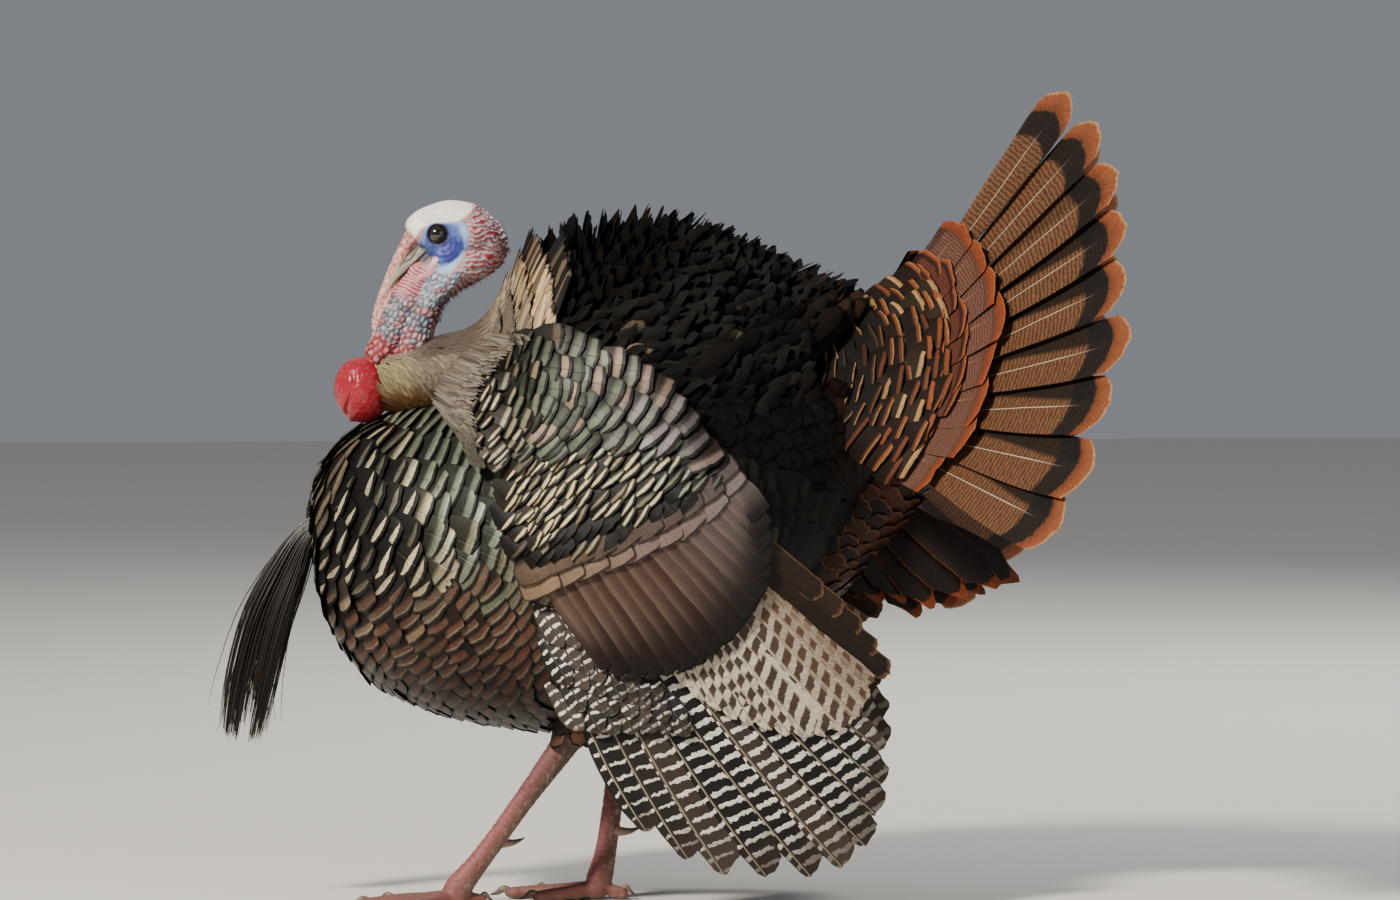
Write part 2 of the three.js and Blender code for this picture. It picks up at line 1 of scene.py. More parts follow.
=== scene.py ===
import math
import bpy
import numpy as np
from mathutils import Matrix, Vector


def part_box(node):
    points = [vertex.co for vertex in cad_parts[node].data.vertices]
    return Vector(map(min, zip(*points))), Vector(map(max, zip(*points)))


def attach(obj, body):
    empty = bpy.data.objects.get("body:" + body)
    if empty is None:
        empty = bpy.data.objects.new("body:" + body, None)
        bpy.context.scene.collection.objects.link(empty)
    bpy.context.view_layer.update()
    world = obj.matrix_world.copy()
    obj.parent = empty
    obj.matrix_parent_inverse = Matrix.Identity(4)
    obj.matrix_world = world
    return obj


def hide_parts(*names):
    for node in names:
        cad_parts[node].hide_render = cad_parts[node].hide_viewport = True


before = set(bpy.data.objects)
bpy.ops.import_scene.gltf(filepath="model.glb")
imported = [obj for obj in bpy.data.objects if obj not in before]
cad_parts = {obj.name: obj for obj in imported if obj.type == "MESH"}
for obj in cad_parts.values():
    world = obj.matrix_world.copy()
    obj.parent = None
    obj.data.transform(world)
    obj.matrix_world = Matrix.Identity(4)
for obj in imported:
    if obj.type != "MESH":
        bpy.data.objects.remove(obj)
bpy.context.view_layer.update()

# Lengths here are millimetres in the maker's own axes: the bird faces -x, its left side is -y, the floor is z = 0.
eyeHome = np.array((-163.0, -12.6, 669.0))
eyeBox = [np.array(corner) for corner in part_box("eye_left")]
shift = (eyeBox[0] + eyeBox[1]) / 2 - eyeHome / 1000
left, right = -1, 1
fullTurn, thirdTurn = 6.2832, 2.0944  # radians


# small helpers

def unit(v):
    return v / np.maximum(np.linalg.norm(v, axis=-1, keepdims=True), 1e-9)


def ease(low, high, x):
    t = np.clip((x - low) / (high - low), 0, 1)
    return t * t * (3 - 2 * t)


def lerp(a, b, t):
    return a + (b - a) * t


def tint(code):
    # a web colour as linear light
    parts = [int(code[i:i + 2], 16) / 255 for i in (1, 3, 5)]
    return np.array([c / 12.92 if c < 0.04 else ((c + 0.055) / 1.055) ** 2.4 for c in parts])


def paint(code):
    return (*tint(code), 1.0)


def mixTint(a, b, share):
    # colours are linear values or web codes
    a, b = (tint(colour) if isinstance(colour, str) else colour for colour in (a, b))
    share = np.asarray(share)[..., None]
    return a * (1 - share) + b * share


def washed(skin, *coats):
    # lays (colour, share) coats one over another
    for colour, share in coats:
        share = np.clip(share, 0, 1)[:, None]
        skin = skin * (1 - share) + tint(colour) * share
    return skin


def vec(*parts):
    return np.stack(np.broadcast_arrays(*parts), -1)


def heading(degrees):
    return vec(np.cos(np.radians(degrees)), np.sin(np.radians(degrees)))


def flattened(way, out):
    # a direction laid onto a surface
    return unit(way - out * np.sum(way * out, -1, keepdims=True))


def lengthsAlong(line):
    return np.concatenate(([0], np.cumsum(np.linalg.norm(np.diff(line, axis=0), axis=1))))


def pickRows(kept, *arrays):
    return [array[kept] for array in arrays]


def through(*pairs):
    # a smooth curve through (at, value) pairs, flat past both ends
    at, value = (np.array(column, float) for column in zip(*pairs))
    ahead = np.minimum(np.arange(len(at)) + 1, len(at) - 1)
    back = np.maximum(np.arange(len(at)) - 1, 0)
    slope = (value[ahead] - value[back]) / (at[ahead] - at[back])

    def read(x):
        x = np.clip(x, at[0], at[-1])
        i = np.clip(np.searchsorted(at, x, side="right") - 1, 0, len(at) - 2)
        span = at[i + 1] - at[i]
        t = (x - at[i]) / span
        rise = t * t * (3 - 2 * t)
        lean = slope[i] * t * (1 - t) ** 2 - slope[i + 1] * t * t * (1 - t)
        return value[i] + (value[i + 1] - value[i]) * rise + span * lean

    return read


def splinePoints(stops, count):
    # points evenly spread by index along a smooth line through the stops
    stops = np.asarray(stops, float)
    t = np.linspace(0, len(stops) - 1, count)
    i = np.clip(t.astype(int), 0, len(stops) - 2)
    f = (t - i)[:, None]
    first, last = 2 * stops[0] - stops[1], 2 * stops[-1] - stops[-2]
    padded = np.vstack((first, stops, last))
    p0, p1, p2, p3 = (padded[i + k] for k in range(4))
    return 0.5 * (2 * p1 + (p2 - p0) * f + (2 * p0 - 5 * p1 + 4 * p2 - p3) * f ** 2
                  + (3 * p1 - p0 - 3 * p2 + p3) * f ** 3)


def softNoise(points, size, seed=0):
    # smooth noise between -1 and 1
    p = np.asarray(points, float) / size + 1000
    cell = np.floor(p).astype(np.int64)
    f = p - cell
    f = f * f * (3 - 2 * f)
    total = 0
    for corner in range(8):
        step = np.array([(corner >> k) & 1 for k in range(3)])
        c = cell + step
        h = (c[..., 0] * 73856093) ^ (c[..., 1] * 19349663) ^ (c[..., 2] * 83492791) ^ (seed * 2654435)
        h = (h * 1103515245 + 12345) & 0x7FFFFFFF
        h = (((h >> 7) ^ h) * 69069 + 1) & 0x7FFFFFFF
        value = (h % 65536) / 65535
        weight = np.prod(np.where(step == 1, f, 1 - f), axis=-1)
        total = total + weight * value
    return total * 2 - 1


def inside(outline, x, z):
    # whether points lie within a closed outline of (x, z) corners
    hit = np.zeros(np.shape(x), bool)
    for (x0, z0), (x1, z1) in zip(outline, outline[1:] + outline[:1]):
        crosses = (z0 > z) != (z1 > z)
        at = (x1 - x0) * (z - z0) / (z1 - z0 + 1e-9) + x0
        hit ^= crosses & (x < at)
    return hit


# meshes

def fillMesh(name, verts, corners, sizes, cornerUvs, colours, values, tested=True):
    # corners run face after face; sizes counts each face's own
    mesh = bpy.data.meshes.new(name)
    mesh.vertices.add(len(verts))
    mesh.vertices.foreach_set("co", (verts / 1000 + shift).astype(np.float32).ravel())
    mesh.loops.add(len(corners))
    mesh.loops.foreach_set("vertex_index", corners)
    mesh.polygons.add(len(sizes))
    mesh.polygons.foreach_set("loop_start", np.concatenate(([0], np.cumsum(sizes)[:-1])).astype(np.int32))
    mesh.update(calc_edges=True)
    if tested:
        mesh.validate()
    for key, uv in cornerUvs.items():
        mesh.uv_layers.new(name=key).data.foreach_set("uv", uv.astype(np.float32).ravel())
    for key, colour in colours.items():
        rgba = np.ones((len(verts), 4), np.float32)
        rgba[:, :3] = colour
        layer = mesh.color_attributes.new(name=key, type="FLOAT_COLOR", domain="POINT")
        layer.data.foreach_set("color", rgba.ravel())
    for key, value in values.items():
        layer = mesh.attributes.new(name=key, type="FLOAT", domain="POINT")
        layer.data.foreach_set("value", np.asarray(value, np.float32))
    mesh.polygons.foreach_set("use_smooth", np.ones(len(sizes), bool))
    return mesh


def placed(name, data):
    thing = bpy.data.objects.new(name, data)
    bpy.context.scene.collection.objects.link(thing)
    return thing


def showPiece(mesh, material, stands):
    mesh.materials.append(material)
    piece = placed(mesh.name, mesh)
    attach(piece, "root")
    if stands:
        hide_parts(*stands)


def makePiece(name, verts, faces, material, stands=(), uvs=None, colours=None, values=None, sharp=0):
    # faces is a list of arrays, one for each count of corners
    corners = np.concatenate([f.ravel() for f in faces]).astype(np.int32)
    sizes = np.concatenate([np.full(len(f), f.shape[1]) for f in faces])
    cornerUvs = {key: np.asarray(uv, np.float32)[corners] for key, uv in (uvs or {}).items()}
    mesh = fillMesh(name, verts, corners, sizes, cornerUvs, colours or {}, values or {})
    if sharp:
        mesh.set_sharp_from_angle(angle=math.radians(sharp))
    showPiece(mesh, material, stands)


def lensFaces(rows, columns):
    # a thin closed vane: an upper and a lower grid that share their rim
    grid = np.arange(rows * columns).reshape(rows, columns)
    under = grid + rows * columns
    rim = np.zeros((rows, columns), bool)
    rim[[0, -1], :] = True
    rim[:, [0, -1]] = True
    under[rim] = grid[rim]
    upper = vec(grid[:-1, :-1], grid[:-1, 1:], grid[1:, 1:], grid[1:, :-1]).reshape(-1, 4)
    lower = vec(under[:-1, :-1], under[1:, :-1], under[1:, 1:], under[:-1, 1:]).reshape(-1, 4)
    kept = np.concatenate((grid.ravel(), under[~rim]))
    lookup = np.zeros(2 * rows * columns, int)
    lookup[kept] = np.arange(len(kept))
    return lookup[np.concatenate((upper, lower))], kept


def bakeCells(count, aspect):
    # one cell of the bake map for each feather, as (corner, size)
    across = max(1, math.ceil(math.sqrt(count * aspect)))
    down = max(1, math.ceil(count / across))
    index = np.arange(count)
    corner = vec(index % across / across, index // across / down)
    return corner, np.array((1 / across, 1 / down))


def makeFeathers(name, vane, material, stands=(), bakeAt=None):
    # vane holds top and under grids (n, rows, columns, 3), marks, and each feather's paints and dials
    top, under = vane["top"], vane["under"]
    count, rows, columns, _ = top.shape
    faces, kept = lensFaces(rows, columns)
    both = np.concatenate((top.reshape(count, -1, 3), under.reshape(count, -1, 3)), 1)[:, kept]
    size = len(kept)
    allFaces = (faces[None] + (np.arange(count) * size)[:, None, None]).reshape(-1, 4)

    def spread(grid):
        flat = grid.reshape(count, rows * columns, -1)
        return np.concatenate((flat, flat), 1)[:, kept].reshape(count * size, -1)

    edgeWay = spread(np.broadcast_to(vec(vane["u"], vane["v"]), (count, rows, columns, 2)))
    marks = spread(vane["marks"])
    aspect = vane.get("aspect", 3.0)
    if bakeAt is None:
        corner, cell = bakeCells(count, aspect)
    else:
        corner, cell = bakeAt, np.array((0.003, 0.003))
    bake = np.repeat(corner, size, 0) + (0.06 + 0.88 * edgeWay) * cell
    colours = {key: spread(np.broadcast_to(value[:, None, None, :] if value.ndim == 2 else value,
                                           (count, rows, columns, 3)))
               for key, value in vane["paint"].items()}
    values = {key: spread(np.broadcast_to(value[:, None, None], (count, rows, columns)))[:, 0]
              for key, value in vane["dials"].items()}
    makePiece(name, both.reshape(-1, 3), [allFaces], material, stands,
              {"Vane": edgeWay, "Marks": marks, "OFBake": bake}, colours, values, sharp=60)


def joinVanes(*vanes):
    joined = dict(vanes[0])
    for key in ("top", "under", "marks"):
        joined[key] = np.concatenate([v[key] for v in vanes])
    for key in ("paint", "dials"):
        joined[key] = {k: np.concatenate([v[key][k] for v in vanes]) for k in vanes[0][key]}
    return joined


def painted(vane, plume, lead, rim, rimWide, **dials):
    # colours of the middle, the leading half and the rim, and the rim's share of the length
    count = len(vane["top"])
    rim = tint(rim) if isinstance(rim, str) else rim
    vane["paint"] = {"plumePaint": plume, "leadPaint": lead, "rimPaint": np.broadcast_to(rim, (count, 3))}
    vane["dials"].update(dials, rimWide=np.broadcast_to(rimWide, count))
    return vane


def pickVanes(vane, chosen):
    picked = dict(vane)
    for key in ("top", "under", "marks"):
        picked[key] = vane[key][chosen]
    for key in ("paint", "dials"):
        picked[key] = {k: v[chosen] for k, v in vane[key].items()}
    return picked


def each(value, count):
    return np.broadcast_to(value, count)[:, None, None]


bodyShape = {  # how a body feather is formed where a piece doesn't say otherwise
    "rows": (0, 0.3, 0.55, 0.74, 0.88, 0.96, 1.0), "columns": (-1, -0.82, -0.4, 0, 0.4, 0.82, 1), "jitter": 4,
    "roll": 4, "rollJitter": 3, "rootWidth": 0.35, "corner": 0.12, "ragged": 0.012, "tipRound": 0.08,
    "held": 0.82, "bend": 1 / 230, "tipLift": 0.0, "slope": 0.14, "slopeJitter": 0.012, "cup": 0.16,
    "above": 0.0, "sway": 0.03, "thick": 0.5,
}


def bodyVanes(anchor, lie, out, length, width, shape, rng):
    # Feathers that lie on a body. The anchor is where the shown end rests, lie points to the tip, out faces away.
    shape = dict(bodyShape, **shape)
    count = len(anchor)
    rows = np.array(shape["rows"])
    columns = np.array(shape["columns"])
    jitter = shape["jitter"]
    yaw = np.radians(rng.normal(0, jitter, count))[:, None]
    roll = np.radians(shape["roll"] + rng.normal(0, shape["rollJitter"], count))[:, None]
    out = unit(out)
    lie = flattened(lie, out)
    side = np.cross(out, lie)
    lie, side = lie * np.cos(yaw) + side * np.sin(yaw), side * np.cos(yaw) - lie * np.sin(yaw)
    side, out = side * np.cos(roll) + out * np.sin(roll), out * np.cos(roll) - side * np.sin(roll)
    s = rows[None, :, None]
    c = columns[None, None, :]
    length = each(length, count)
    width = each(width, count)
    narrow = shape["rootWidth"]
    corner = shape["corner"]
    half = width / 2 * (narrow + (1 - narrow) * ease(0, 0.6, s)) * (1 - corner * ease(0.82, 1.0, s) ** 2)
    ragged = rng.normal(0, shape["ragged"], (count, 1, len(columns))) * s ** 6
    tipFall = shape["tipRound"]
    along = length * (s - tipFall * s ** 5 * np.abs(c) ** 2.2 + ragged)
    across = half * c
    held = shape["held"]
    bend = shape["bend"]
    tipLift = shape["tipLift"]
    away = along - length * held
    slope = each(shape["slope"], count) + rng.normal(0, shape["slopeJitter"], (count, 1, 1))
    height = (slope * away - bend * away ** 2 / 2 + tipLift * ease(0.55, 1.0, s) * length
              - shape["cup"] * half * np.abs(c) ** 2)
    height = height + shape["above"]
    sway = rng.normal(0, shape["sway"], (count, 1, 1)) * length * s ** 2
    place = (anchor[:, None, None, :] + lie[:, None, None, :] * (along - length * held)[..., None]
             + side[:, None, None, :] * (across + sway)[..., None] + out[:, None, None, :] * height[..., None])
    thick = shape["thick"] * (1 - np.abs(c) ** 2) * (1 - 0.6 * s)
    under = place - out[:, None, None, :] * np.broadcast_to(thick, height.shape)[..., None]
    marks = vec(across / 100, along / 100)
    u = np.broadcast_to((c + 1) / 2, (1, len(rows), len(columns)))
    v = np.broadcast_to(s, (1, len(rows), len(columns)))
    return {"top": place, "under": under, "marks": marks, "u": u, "v": v,
            "aspect": float(np.mean(length) / np.mean(width)),
            "paint": {}, "dials": {"seed": rng.random(count)}}


planeShape = {  # the same for the long feathers
    "rows": np.r_[np.linspace(0, 0.84, 8), 0.9, 0.95, 0.98, 1.0],
    "columns": (-1, -0.6, -0.14, 0, 0.14, 0.4, 0.7, 0.9, 1), "turned": 1, "tipRound": 0.5, "ragged": 0.003,
    "bow": 0.0, "lift": 0.0, "stack": 0.0, "tilt": 0.0, "slope": 0.0, "cup": 0.0, "heightJitter": 0.25,
    "ripple": 0.0, "thick": 0.8, "quill": 0.0,
}


def planeVanes(roots, tips, shape, place, rng, leading=None, trailing=None):
    # Long feathers drawn in a plane, then carried onto a surface by place(points, height).
    shape = dict(planeShape, **shape)
    roots, tips = np.asarray(roots, float), np.asarray(tips, float)
    count = len(roots)
    rows = np.array(shape["rows"])
    columns = np.array(shape["columns"])
    s = rows[None, :, None]
    c = columns[None, None, :]
    length = np.linalg.norm(tips - roots, axis=1)[:, None, None]
    ahead = unit(tips - roots)
    across = vec(-ahead[:, 1], ahead[:, 0])
    leading = each(shape["leading"] if leading is None else leading, count)
    trailing = each(shape["trailing"] if trailing is None else trailing, count)
    grow = shape["grow"](s)
    wide = np.where(c < 0, leading, trailing) * grow
    offset = c * wide * shape["turned"]
    tipFall = shape["tipRound"]
    reach = tipFall * (leading + trailing) / 2 / length
    ragged = rng.normal(0, shape["ragged"], (count, 1, len(columns))) * s ** 8
    t = s - reach * s ** 4 * np.abs(c) ** 2.3 + ragged
    bow = each(shape["bow"], count) * 4 * t * (1 - t)
    spot = (roots[:, None, None] + ahead[:, None, None] * (t * length)[..., None]
            + across[:, None, None] * (offset + bow)[..., None])
    order = np.arange(count)[:, None, None]
    height = (shape["lift"] + shape["stack"] * order + shape["tilt"] * c + shape["slope"] * t
              - shape["cup"] * np.abs(c) ** 2 + 0 * t)
    height = height + rng.normal(0, shape["heightJitter"], (count, 1, 1)) * t
    ripple = shape["ripple"]
    height = height + ripple * softNoise(vec(t * 9, c * 2 + order * 7, order + 0 * t), 1, 5)
    thick = (shape["thick"] * (1 - np.abs(c) ** 2) * (1 - 0.7 * s) + 0.12) * np.ones_like(height)
    quill = shape["quill"] * np.exp(-(c / 0.1) ** 2) * (1 - 0.8 * s)
    top = place(spot, height + quill)
    under = place(spot, height - thick)
    marks = vec(offset / 100, t * length / 100)
    u = np.broadcast_to((c + 1) / 2, (1, len(rows), len(columns)))
    v = np.broadcast_to(s, (1, len(rows), len(columns)))
    return {"top": top, "under": under, "marks": marks, "u": u, "v": v,
            "aspect": float(np.mean(length) / np.mean(leading + trailing)),
            "paint": {}, "dials": {"seed": rng.random(count), "long": length[:, 0, 0] / 100}}


# finishes

class Signal:
    # a value that runs through a finish's nodes and takes plain arithmetic

    def __init__(self, finish, socket):
        self.finish, self.socket = finish, socket

    def __add__(self, other):
        return self.finish.math("ADD", self, other)

    def __sub__(self, other):
        return self.finish.math("SUBTRACT", self, other)

    def __rsub__(self, other):
        return self.finish.math("SUBTRACT", other, self)

    def __mul__(self, other):
        return self.finish.math("MULTIPLY", self, other)

    def __truediv__(self, other):
        return self.finish.math("DIVIDE", self, other)

    def __pow__(self, other):
        return self.finish.math("POWER", self, other)

    def __abs__(self):
        return self.finish.math("ABSOLUTE", self)


class Finish:
    # a material whose nodes are laid in the order that the colours need

    def __init__(self, name, **fixed):
        self.material = bpy.data.materials.new(name)
        self.material.use_nodes = True
        self.tree = self.material.node_tree
        self.shader = self.tree.nodes["Principled BSDF"]
        for socket, value in fixed.items():
            self.shader.inputs[socketNames[socket]].default_value = value

    def node(self, kind, inputs=None, output=0, **settings):
        made = self.tree.nodes.new(kind)
        for key, value in settings.items():
            setattr(made, key, value)
        for key, value in (inputs or {}).items():
            self.feed(made.inputs[key], value)
        return Signal(self, made.outputs[output])

    def feed(self, socket, value):
        if isinstance(value, Signal):
            self.tree.links.new(value.socket, socket)
        elif isinstance(value, str):
            socket.default_value = paint(value)
        elif value is not None:
            socket.default_value = value

    def math(self, how, a, b=0.0):
        return self.node("ShaderNodeMath", {0: a, 1: b}, operation=how)

    def between(self, value, low, high, start=0.0, end=1.0):
        return self.node("ShaderNodeMapRange", {0: value, 1: low, 2: high, 3: start, 4: end},
                         interpolation_type="SMOOTHSTEP")

    def mix(self, share, a, b, how="MIX"):
        return self.node("ShaderNodeMix", {0: share, 6: a, 7: b}, 2, data_type="RGBA", blend_type=how)

    def grained(self, colour, grain):
        # darkens and lightens a colour by a grain round 1
        return self.mix(1.0, colour, self.vector(grain, grain, grain), "MULTIPLY")

    def colour(self, name):
        return self.node("ShaderNodeAttribute", output="Color", attribute_name=name)

    def dial(self, name):
        return self.node("ShaderNodeAttribute", output="Fac", attribute_name=name)

    def split(self, vector):
        made = self.node("ShaderNodeSeparateXYZ", {0: vector}).socket.node
        return [Signal(self, socket) for socket in made.outputs]

    def uv(self, name):
        return self.split(self.node("ShaderNodeUVMap", uv_map=name))[:2]

    def vector(self, x, y, z=0.0):
        return self.node("ShaderNodeCombineXYZ", {0: x, 1: y, 2: z})

    def noise(self, vector, scale, detail=2.0, rough=0.5):
        return self.node("ShaderNodeTexNoise", {"Vector": vector, "Scale": scale, "Detail": detail,
                                                "Roughness": rough})

    def solidPlace(self):
        return self.node("ShaderNodeTexCoord", output="Object")

    def bump(self, height, strength, distance):
        made = self.node("ShaderNodeBump", {"Height": height, "Strength": strength, "Distance": distance})
        self.feed(self.shader.inputs["Normal"], made)

    def done(self, colour=None, roughness=None, metallic=None):
        self.feed(self.shader.inputs["Base Color"], colour)
        self.feed(self.shader.inputs["Roughness"], roughness)
        self.feed(self.shader.inputs["Metallic"], metallic)
        return self.material


socketNames = {
    "specular": "Specular IOR Level", "sheen": "Sheen Weight", "sheenRough": "Sheen Roughness",
    "coat": "Coat Weight", "coatRough": "Coat Roughness", "subsurface": "Subsurface Weight",
    "scatter": "Subsurface Radius", "scatterScale": "Subsurface Scale", "roughness": "Roughness",
    "colour": "Base Color",
}


def barbs(finish, u, v, seed, slant=0.35, count=70.0, spread=6.0):
    # fine hairs that leave the shaft at a slant
    side = abs(u - 0.5)
    along = v - side * slant
    spot = finish.vector(along * count, side * spread, seed * 91.0)
    return finish.noise(spot, 1.0, 3.0, 0.65), side


plumeDials = {  # how a plume is painted where a piece doesn't say otherwise
    "line": "none", "specular": 0.16, "sheen": 0.0, "barbs": 60.0, "sideStart": 0.44, "litSliverHalf": 0.05,
    "rootShadeEnd": 0.62, "rootShadeSoft": 0.12, "rootShadeShare": 0.75, "shaft": 0.25, "grain": 0.35, "bump": 0.45,
    "glossy": 0.34, "dull": 0.5, "metal": 0.35,
}


def plumeFinish(name, dials):
    # small body feathers: a shining band, a dark rim, and a root darkened as painted shade
    dials = dict(plumeDials, **dials)
    finish = Finish(name, specular=dials["specular"], sheen=dials["sheen"], sheenRough=0.4)
    u, v = finish.uv("Vane")
    seed = finish.dial("seed")
    streak, side = barbs(finish, u, v, seed, count=dials["barbs"])
    rough = finish.noise(finish.vector(u * 9.0, v * 26.0, seed * 37.0), 1.0, 2.0)
    rim = finish.dial("rimWide")
    wavyTip = v + (rough - 0.5) * 0.035
    tipStart = 1.0 - rim
    # the dark band at the tip is the feather's own; the dark sides are partly its own edge, partly painted shade
    # between neighbours
    tip = finish.between(wavyTip - tipStart, -0.012, 0.012)
    wavySide = side + (rough - 0.5) * 0.03
    edge = finish.between(wavySide, dials["sideStart"], dials["sideStart"] + 0.035)
    # close-lying feathers get narrower painted shade: thinner dark sides, and root shade only just under the tip
    close = finish.dial("close")
    edge = edge * (1.0 - close * 0.8)
    # a lit sliver: where a feather asks for one, only a lens near the tip keeps its colour, as a painted highlight, and
    # the rest takes the rim's dark as painted shade
    half = dials["litSliverHalf"]
    middle = tipStart - half * 0.9
    fromMiddle = (wavyTip - middle) / half
    aside = wavySide / 0.47
    lens = abs(fromMiddle) + aside * aside
    outside = finish.dial("sliver") * finish.between(lens, 0.8, 1.15)
    rimShare = finish.math("MAXIMUM", finish.math("MAXIMUM", tip, edge), outside)
    # painted shade over the root end, where the feathers before overlap it
    rootShadeEnd, rootShadeSoft = dials["rootShadeEnd"], dials["rootShadeSoft"]
    root = finish.between(v, rootShadeEnd, rootShadeEnd - rootShadeSoft)
    shine = finish.mix(finish.between(u, 0.12, 0.6), finish.colour("leadPaint"), finish.colour("plumePaint"))
    if dials["line"] != "none":
        inner = wavyTip - tipStart
        thin = finish.between(inner, -0.055, -0.035) * finish.between(inner, 0.0, -0.012)
        line = dials["line"] or finish.mix(1.0, finish.colour("leadPaint"), (1.45, 1.45, 1.45, 1.0), "MULTIPLY")
        shine = finish.mix(thin * finish.between(seed, 0.2, 0.6), shine, line)
    colour = finish.mix(rimShare, shine, finish.colour("rimPaint"))
    underTip = finish.between(v, rootShadeEnd + 0.02, rootShadeEnd - 0.05)
    root = finish.mix(close, root, underTip)
    # the root's painted shade is near black, or the neck's colour where a feather meets the neck
    rootShadeTint = finish.mix(finish.dial("neckish"), "#0e0b09", "#75695b")
    colour = finish.mix(root * dials["rootShadeShare"], colour, rootShadeTint)
    shaft = finish.between(side, 0.02, 0.006)
    colour = finish.mix(shaft * dials["shaft"], colour, "#2a211a")
    grain = finish.between(streak, 0.25, 0.8, 1 - dials["grain"], 1 + dials["grain"])
    colour = finish.grained(colour, grain)
    finish.bump(streak + shaft * 0.8, dials["bump"], 0.0006)
    gloss = finish.between(streak, 0.2, 0.8, dials["glossy"], dials["dull"])
    metal = (1.0 - rimShare) * dials["metal"]
    return finish.done(colour, gloss, metal)


# trunk form, over the feathers

backLine = through((-297, 384), (-293, 413), (-282, 443), (-265, 464), (-245, 478), (-205, 492), (-150, 518),
                   (-118, 568), (-98, 603), (-84, 634), (-70, 662), (-40, 687), (0, 696), (50, 700),
                   (100, 693), (140, 677), (190, 652), (240, 634), (280, 612), (307, 560))
bellyLine = through(
    (-297, 384), (-294, 343), (-287, 303), (-274, 268), (-254, 240), (-220, 213), (-170, 191), (-130, 181),
    (-90, 174), (-50, 170), (-10, 170), (40, 180), (90, 202), (140, 242), (190, 298), (240, 362), (285, 430),
    (307, 520))
halfWidth = through(
    (-297, 20), (-288, 62), (-270, 98), (-240, 130), (-200, 156), (-150, 176), (-100, 189), (-40, 198),
    (20, 198), (80, 190), (140, 168), (200, 138), (250, 108), (285, 78), (307, 30))
widestLine = through((-297, 384), (-200, 352), (-100, 350), (0, 360), (100, 385), (200, 440), (307, 530))

trunk = {
    "heart": np.array((0.0, 0.0, 420.0)),  # the middle that the rows of feathers turn about
    "throat": np.array((-235.0, 0.0, 478.0)),  # the rows start round this point
    "cleft": {"depth": 18.0, "halfWidth": 30.0, "reach": 90.0, "front": -299.0},
    "around": 180, "along": 140,
}


def trunkFill(points):
    # under 1 inside the trunk
    x, y, z = points[..., 0], points[..., 1], points[..., 2]
    cleft = trunk["cleft"]
    near = np.clip(1 - (x - cleft["front"]) / cleft["reach"], 0, 1)
    x = x - cleft["depth"] * near * np.exp(-(y / cleft["halfWidth"]) ** 2)
    middle = widestLine(x)
    high = np.maximum(np.where(z > middle, backLine(x) - middle, middle - bellyLine(x)), 1)
    fill = (y / halfWidth(x)) ** 2 + ((z - middle) / high) ** 2
    return fill + 50 * np.maximum(0, -299 - x) + 50 * np.maximum(0, x - 307)


def trunkTable():
    # points of the trunk by distance from the throat and turn about it; turn 0 is the back, a quarter is the left
    ahead = unit(trunk["throat"] - trunk["heart"])
    up = unit(np.array((0, 0, 1.0)) - ahead * ahead[2])
    side = np.array((0, -1.0, 0))
    turn = np.linspace(0, 2 * math.pi, trunk["around"] + 1)
    fall = np.linspace(0.0, math.pi, trunk["along"] + 1)
    f, t = np.meshgrid(fall, turn, indexing="ij")
    way = np.cos(f)[..., None] * ahead + np.sin(f)[..., None] * (
        np.cos(t)[..., None] * up + np.sin(t)[..., None] * side)
    low, high = np.zeros(f.shape), np.full(f.shape, 460.0)
    for _ in range(22):
        middle = (low + high) / 2
        within = trunkFill(trunk["heart"] + way * middle[..., None]) < 1
        low, high = np.where(within, middle, low), np.where(within, high, middle)
    points = trunk["heart"] + way * low[..., None]
    for _ in range(3):  # takes the sharp corners off
        ring = points[:, :-1]
        ring = (2 * ring + np.roll(ring, 1, 1) + np.roll(ring, -1, 1)) / 4
        ring[1:-1] = (2 * ring[1:-1] + ring[:-2] + ring[2:]) / 4
        points = np.concatenate((ring, ring[:, :1]), 1)
    downLie = np.gradient(points, axis=0)
    aroundLie = np.gradient(np.concatenate((points[:, -3:-1], points, points[:, 1:3]), 1), axis=1)[:, 2:-2]
    downLie[[0, -1]] = downLie[[1, -2]]
    aroundLie[0], aroundLie[-1] = aroundLie[2], aroundLie[-3]
    out = unit(np.cross(downLie, aroundLie))
    out *= np.sign(np.sum(out * way, -1, keepdims=True))
    out[0], out[-1] = unit(out[1].mean(0)), unit(out[-2].mean(0))
    steps = np.linalg.norm(np.diff(points, axis=0), axis=-1)
    reach = np.concatenate((np.zeros((1, len(turn))), np.cumsum(steps, 0)))
    return {"points": points, "out": out, "lie": unit(downLie), "reach": reach, "turn": turn}


table = trunkTable()
print("trunk form laid out")


def trunkRow(distance, pitch, offset):
    # points at one distance from the throat, evenly spaced round the body
    columns = len(table["turn"])
    spot, out, lie = (np.zeros((columns, 3)) for _ in range(3))
    for k in range(columns):
        reach = table["reach"][:, k]
        d = min(distance, reach[-1])
        for axis in range(3):
            spot[k, axis] = np.interp(d, reach, table["points"][:, k, axis])
            out[k, axis] = np.interp(d, reach, table["out"][:, k, axis])
            lie[k, axis] = np.interp(d, reach, table["lie"][:, k, axis])
    length = lengthsAlong(spot)
    count = int(length[-1] / pitch)
    if count < 4:
        return None
    way = (np.arange(count) + offset) / count * length[-1]

    def read(grid):
        return np.stack([np.interp(way, length, grid[:, axis]) for axis in range(3)], -1)

    return read(spot), unit(read(out)), unit(read(lie)), np.interp(way, length, table["turn"])


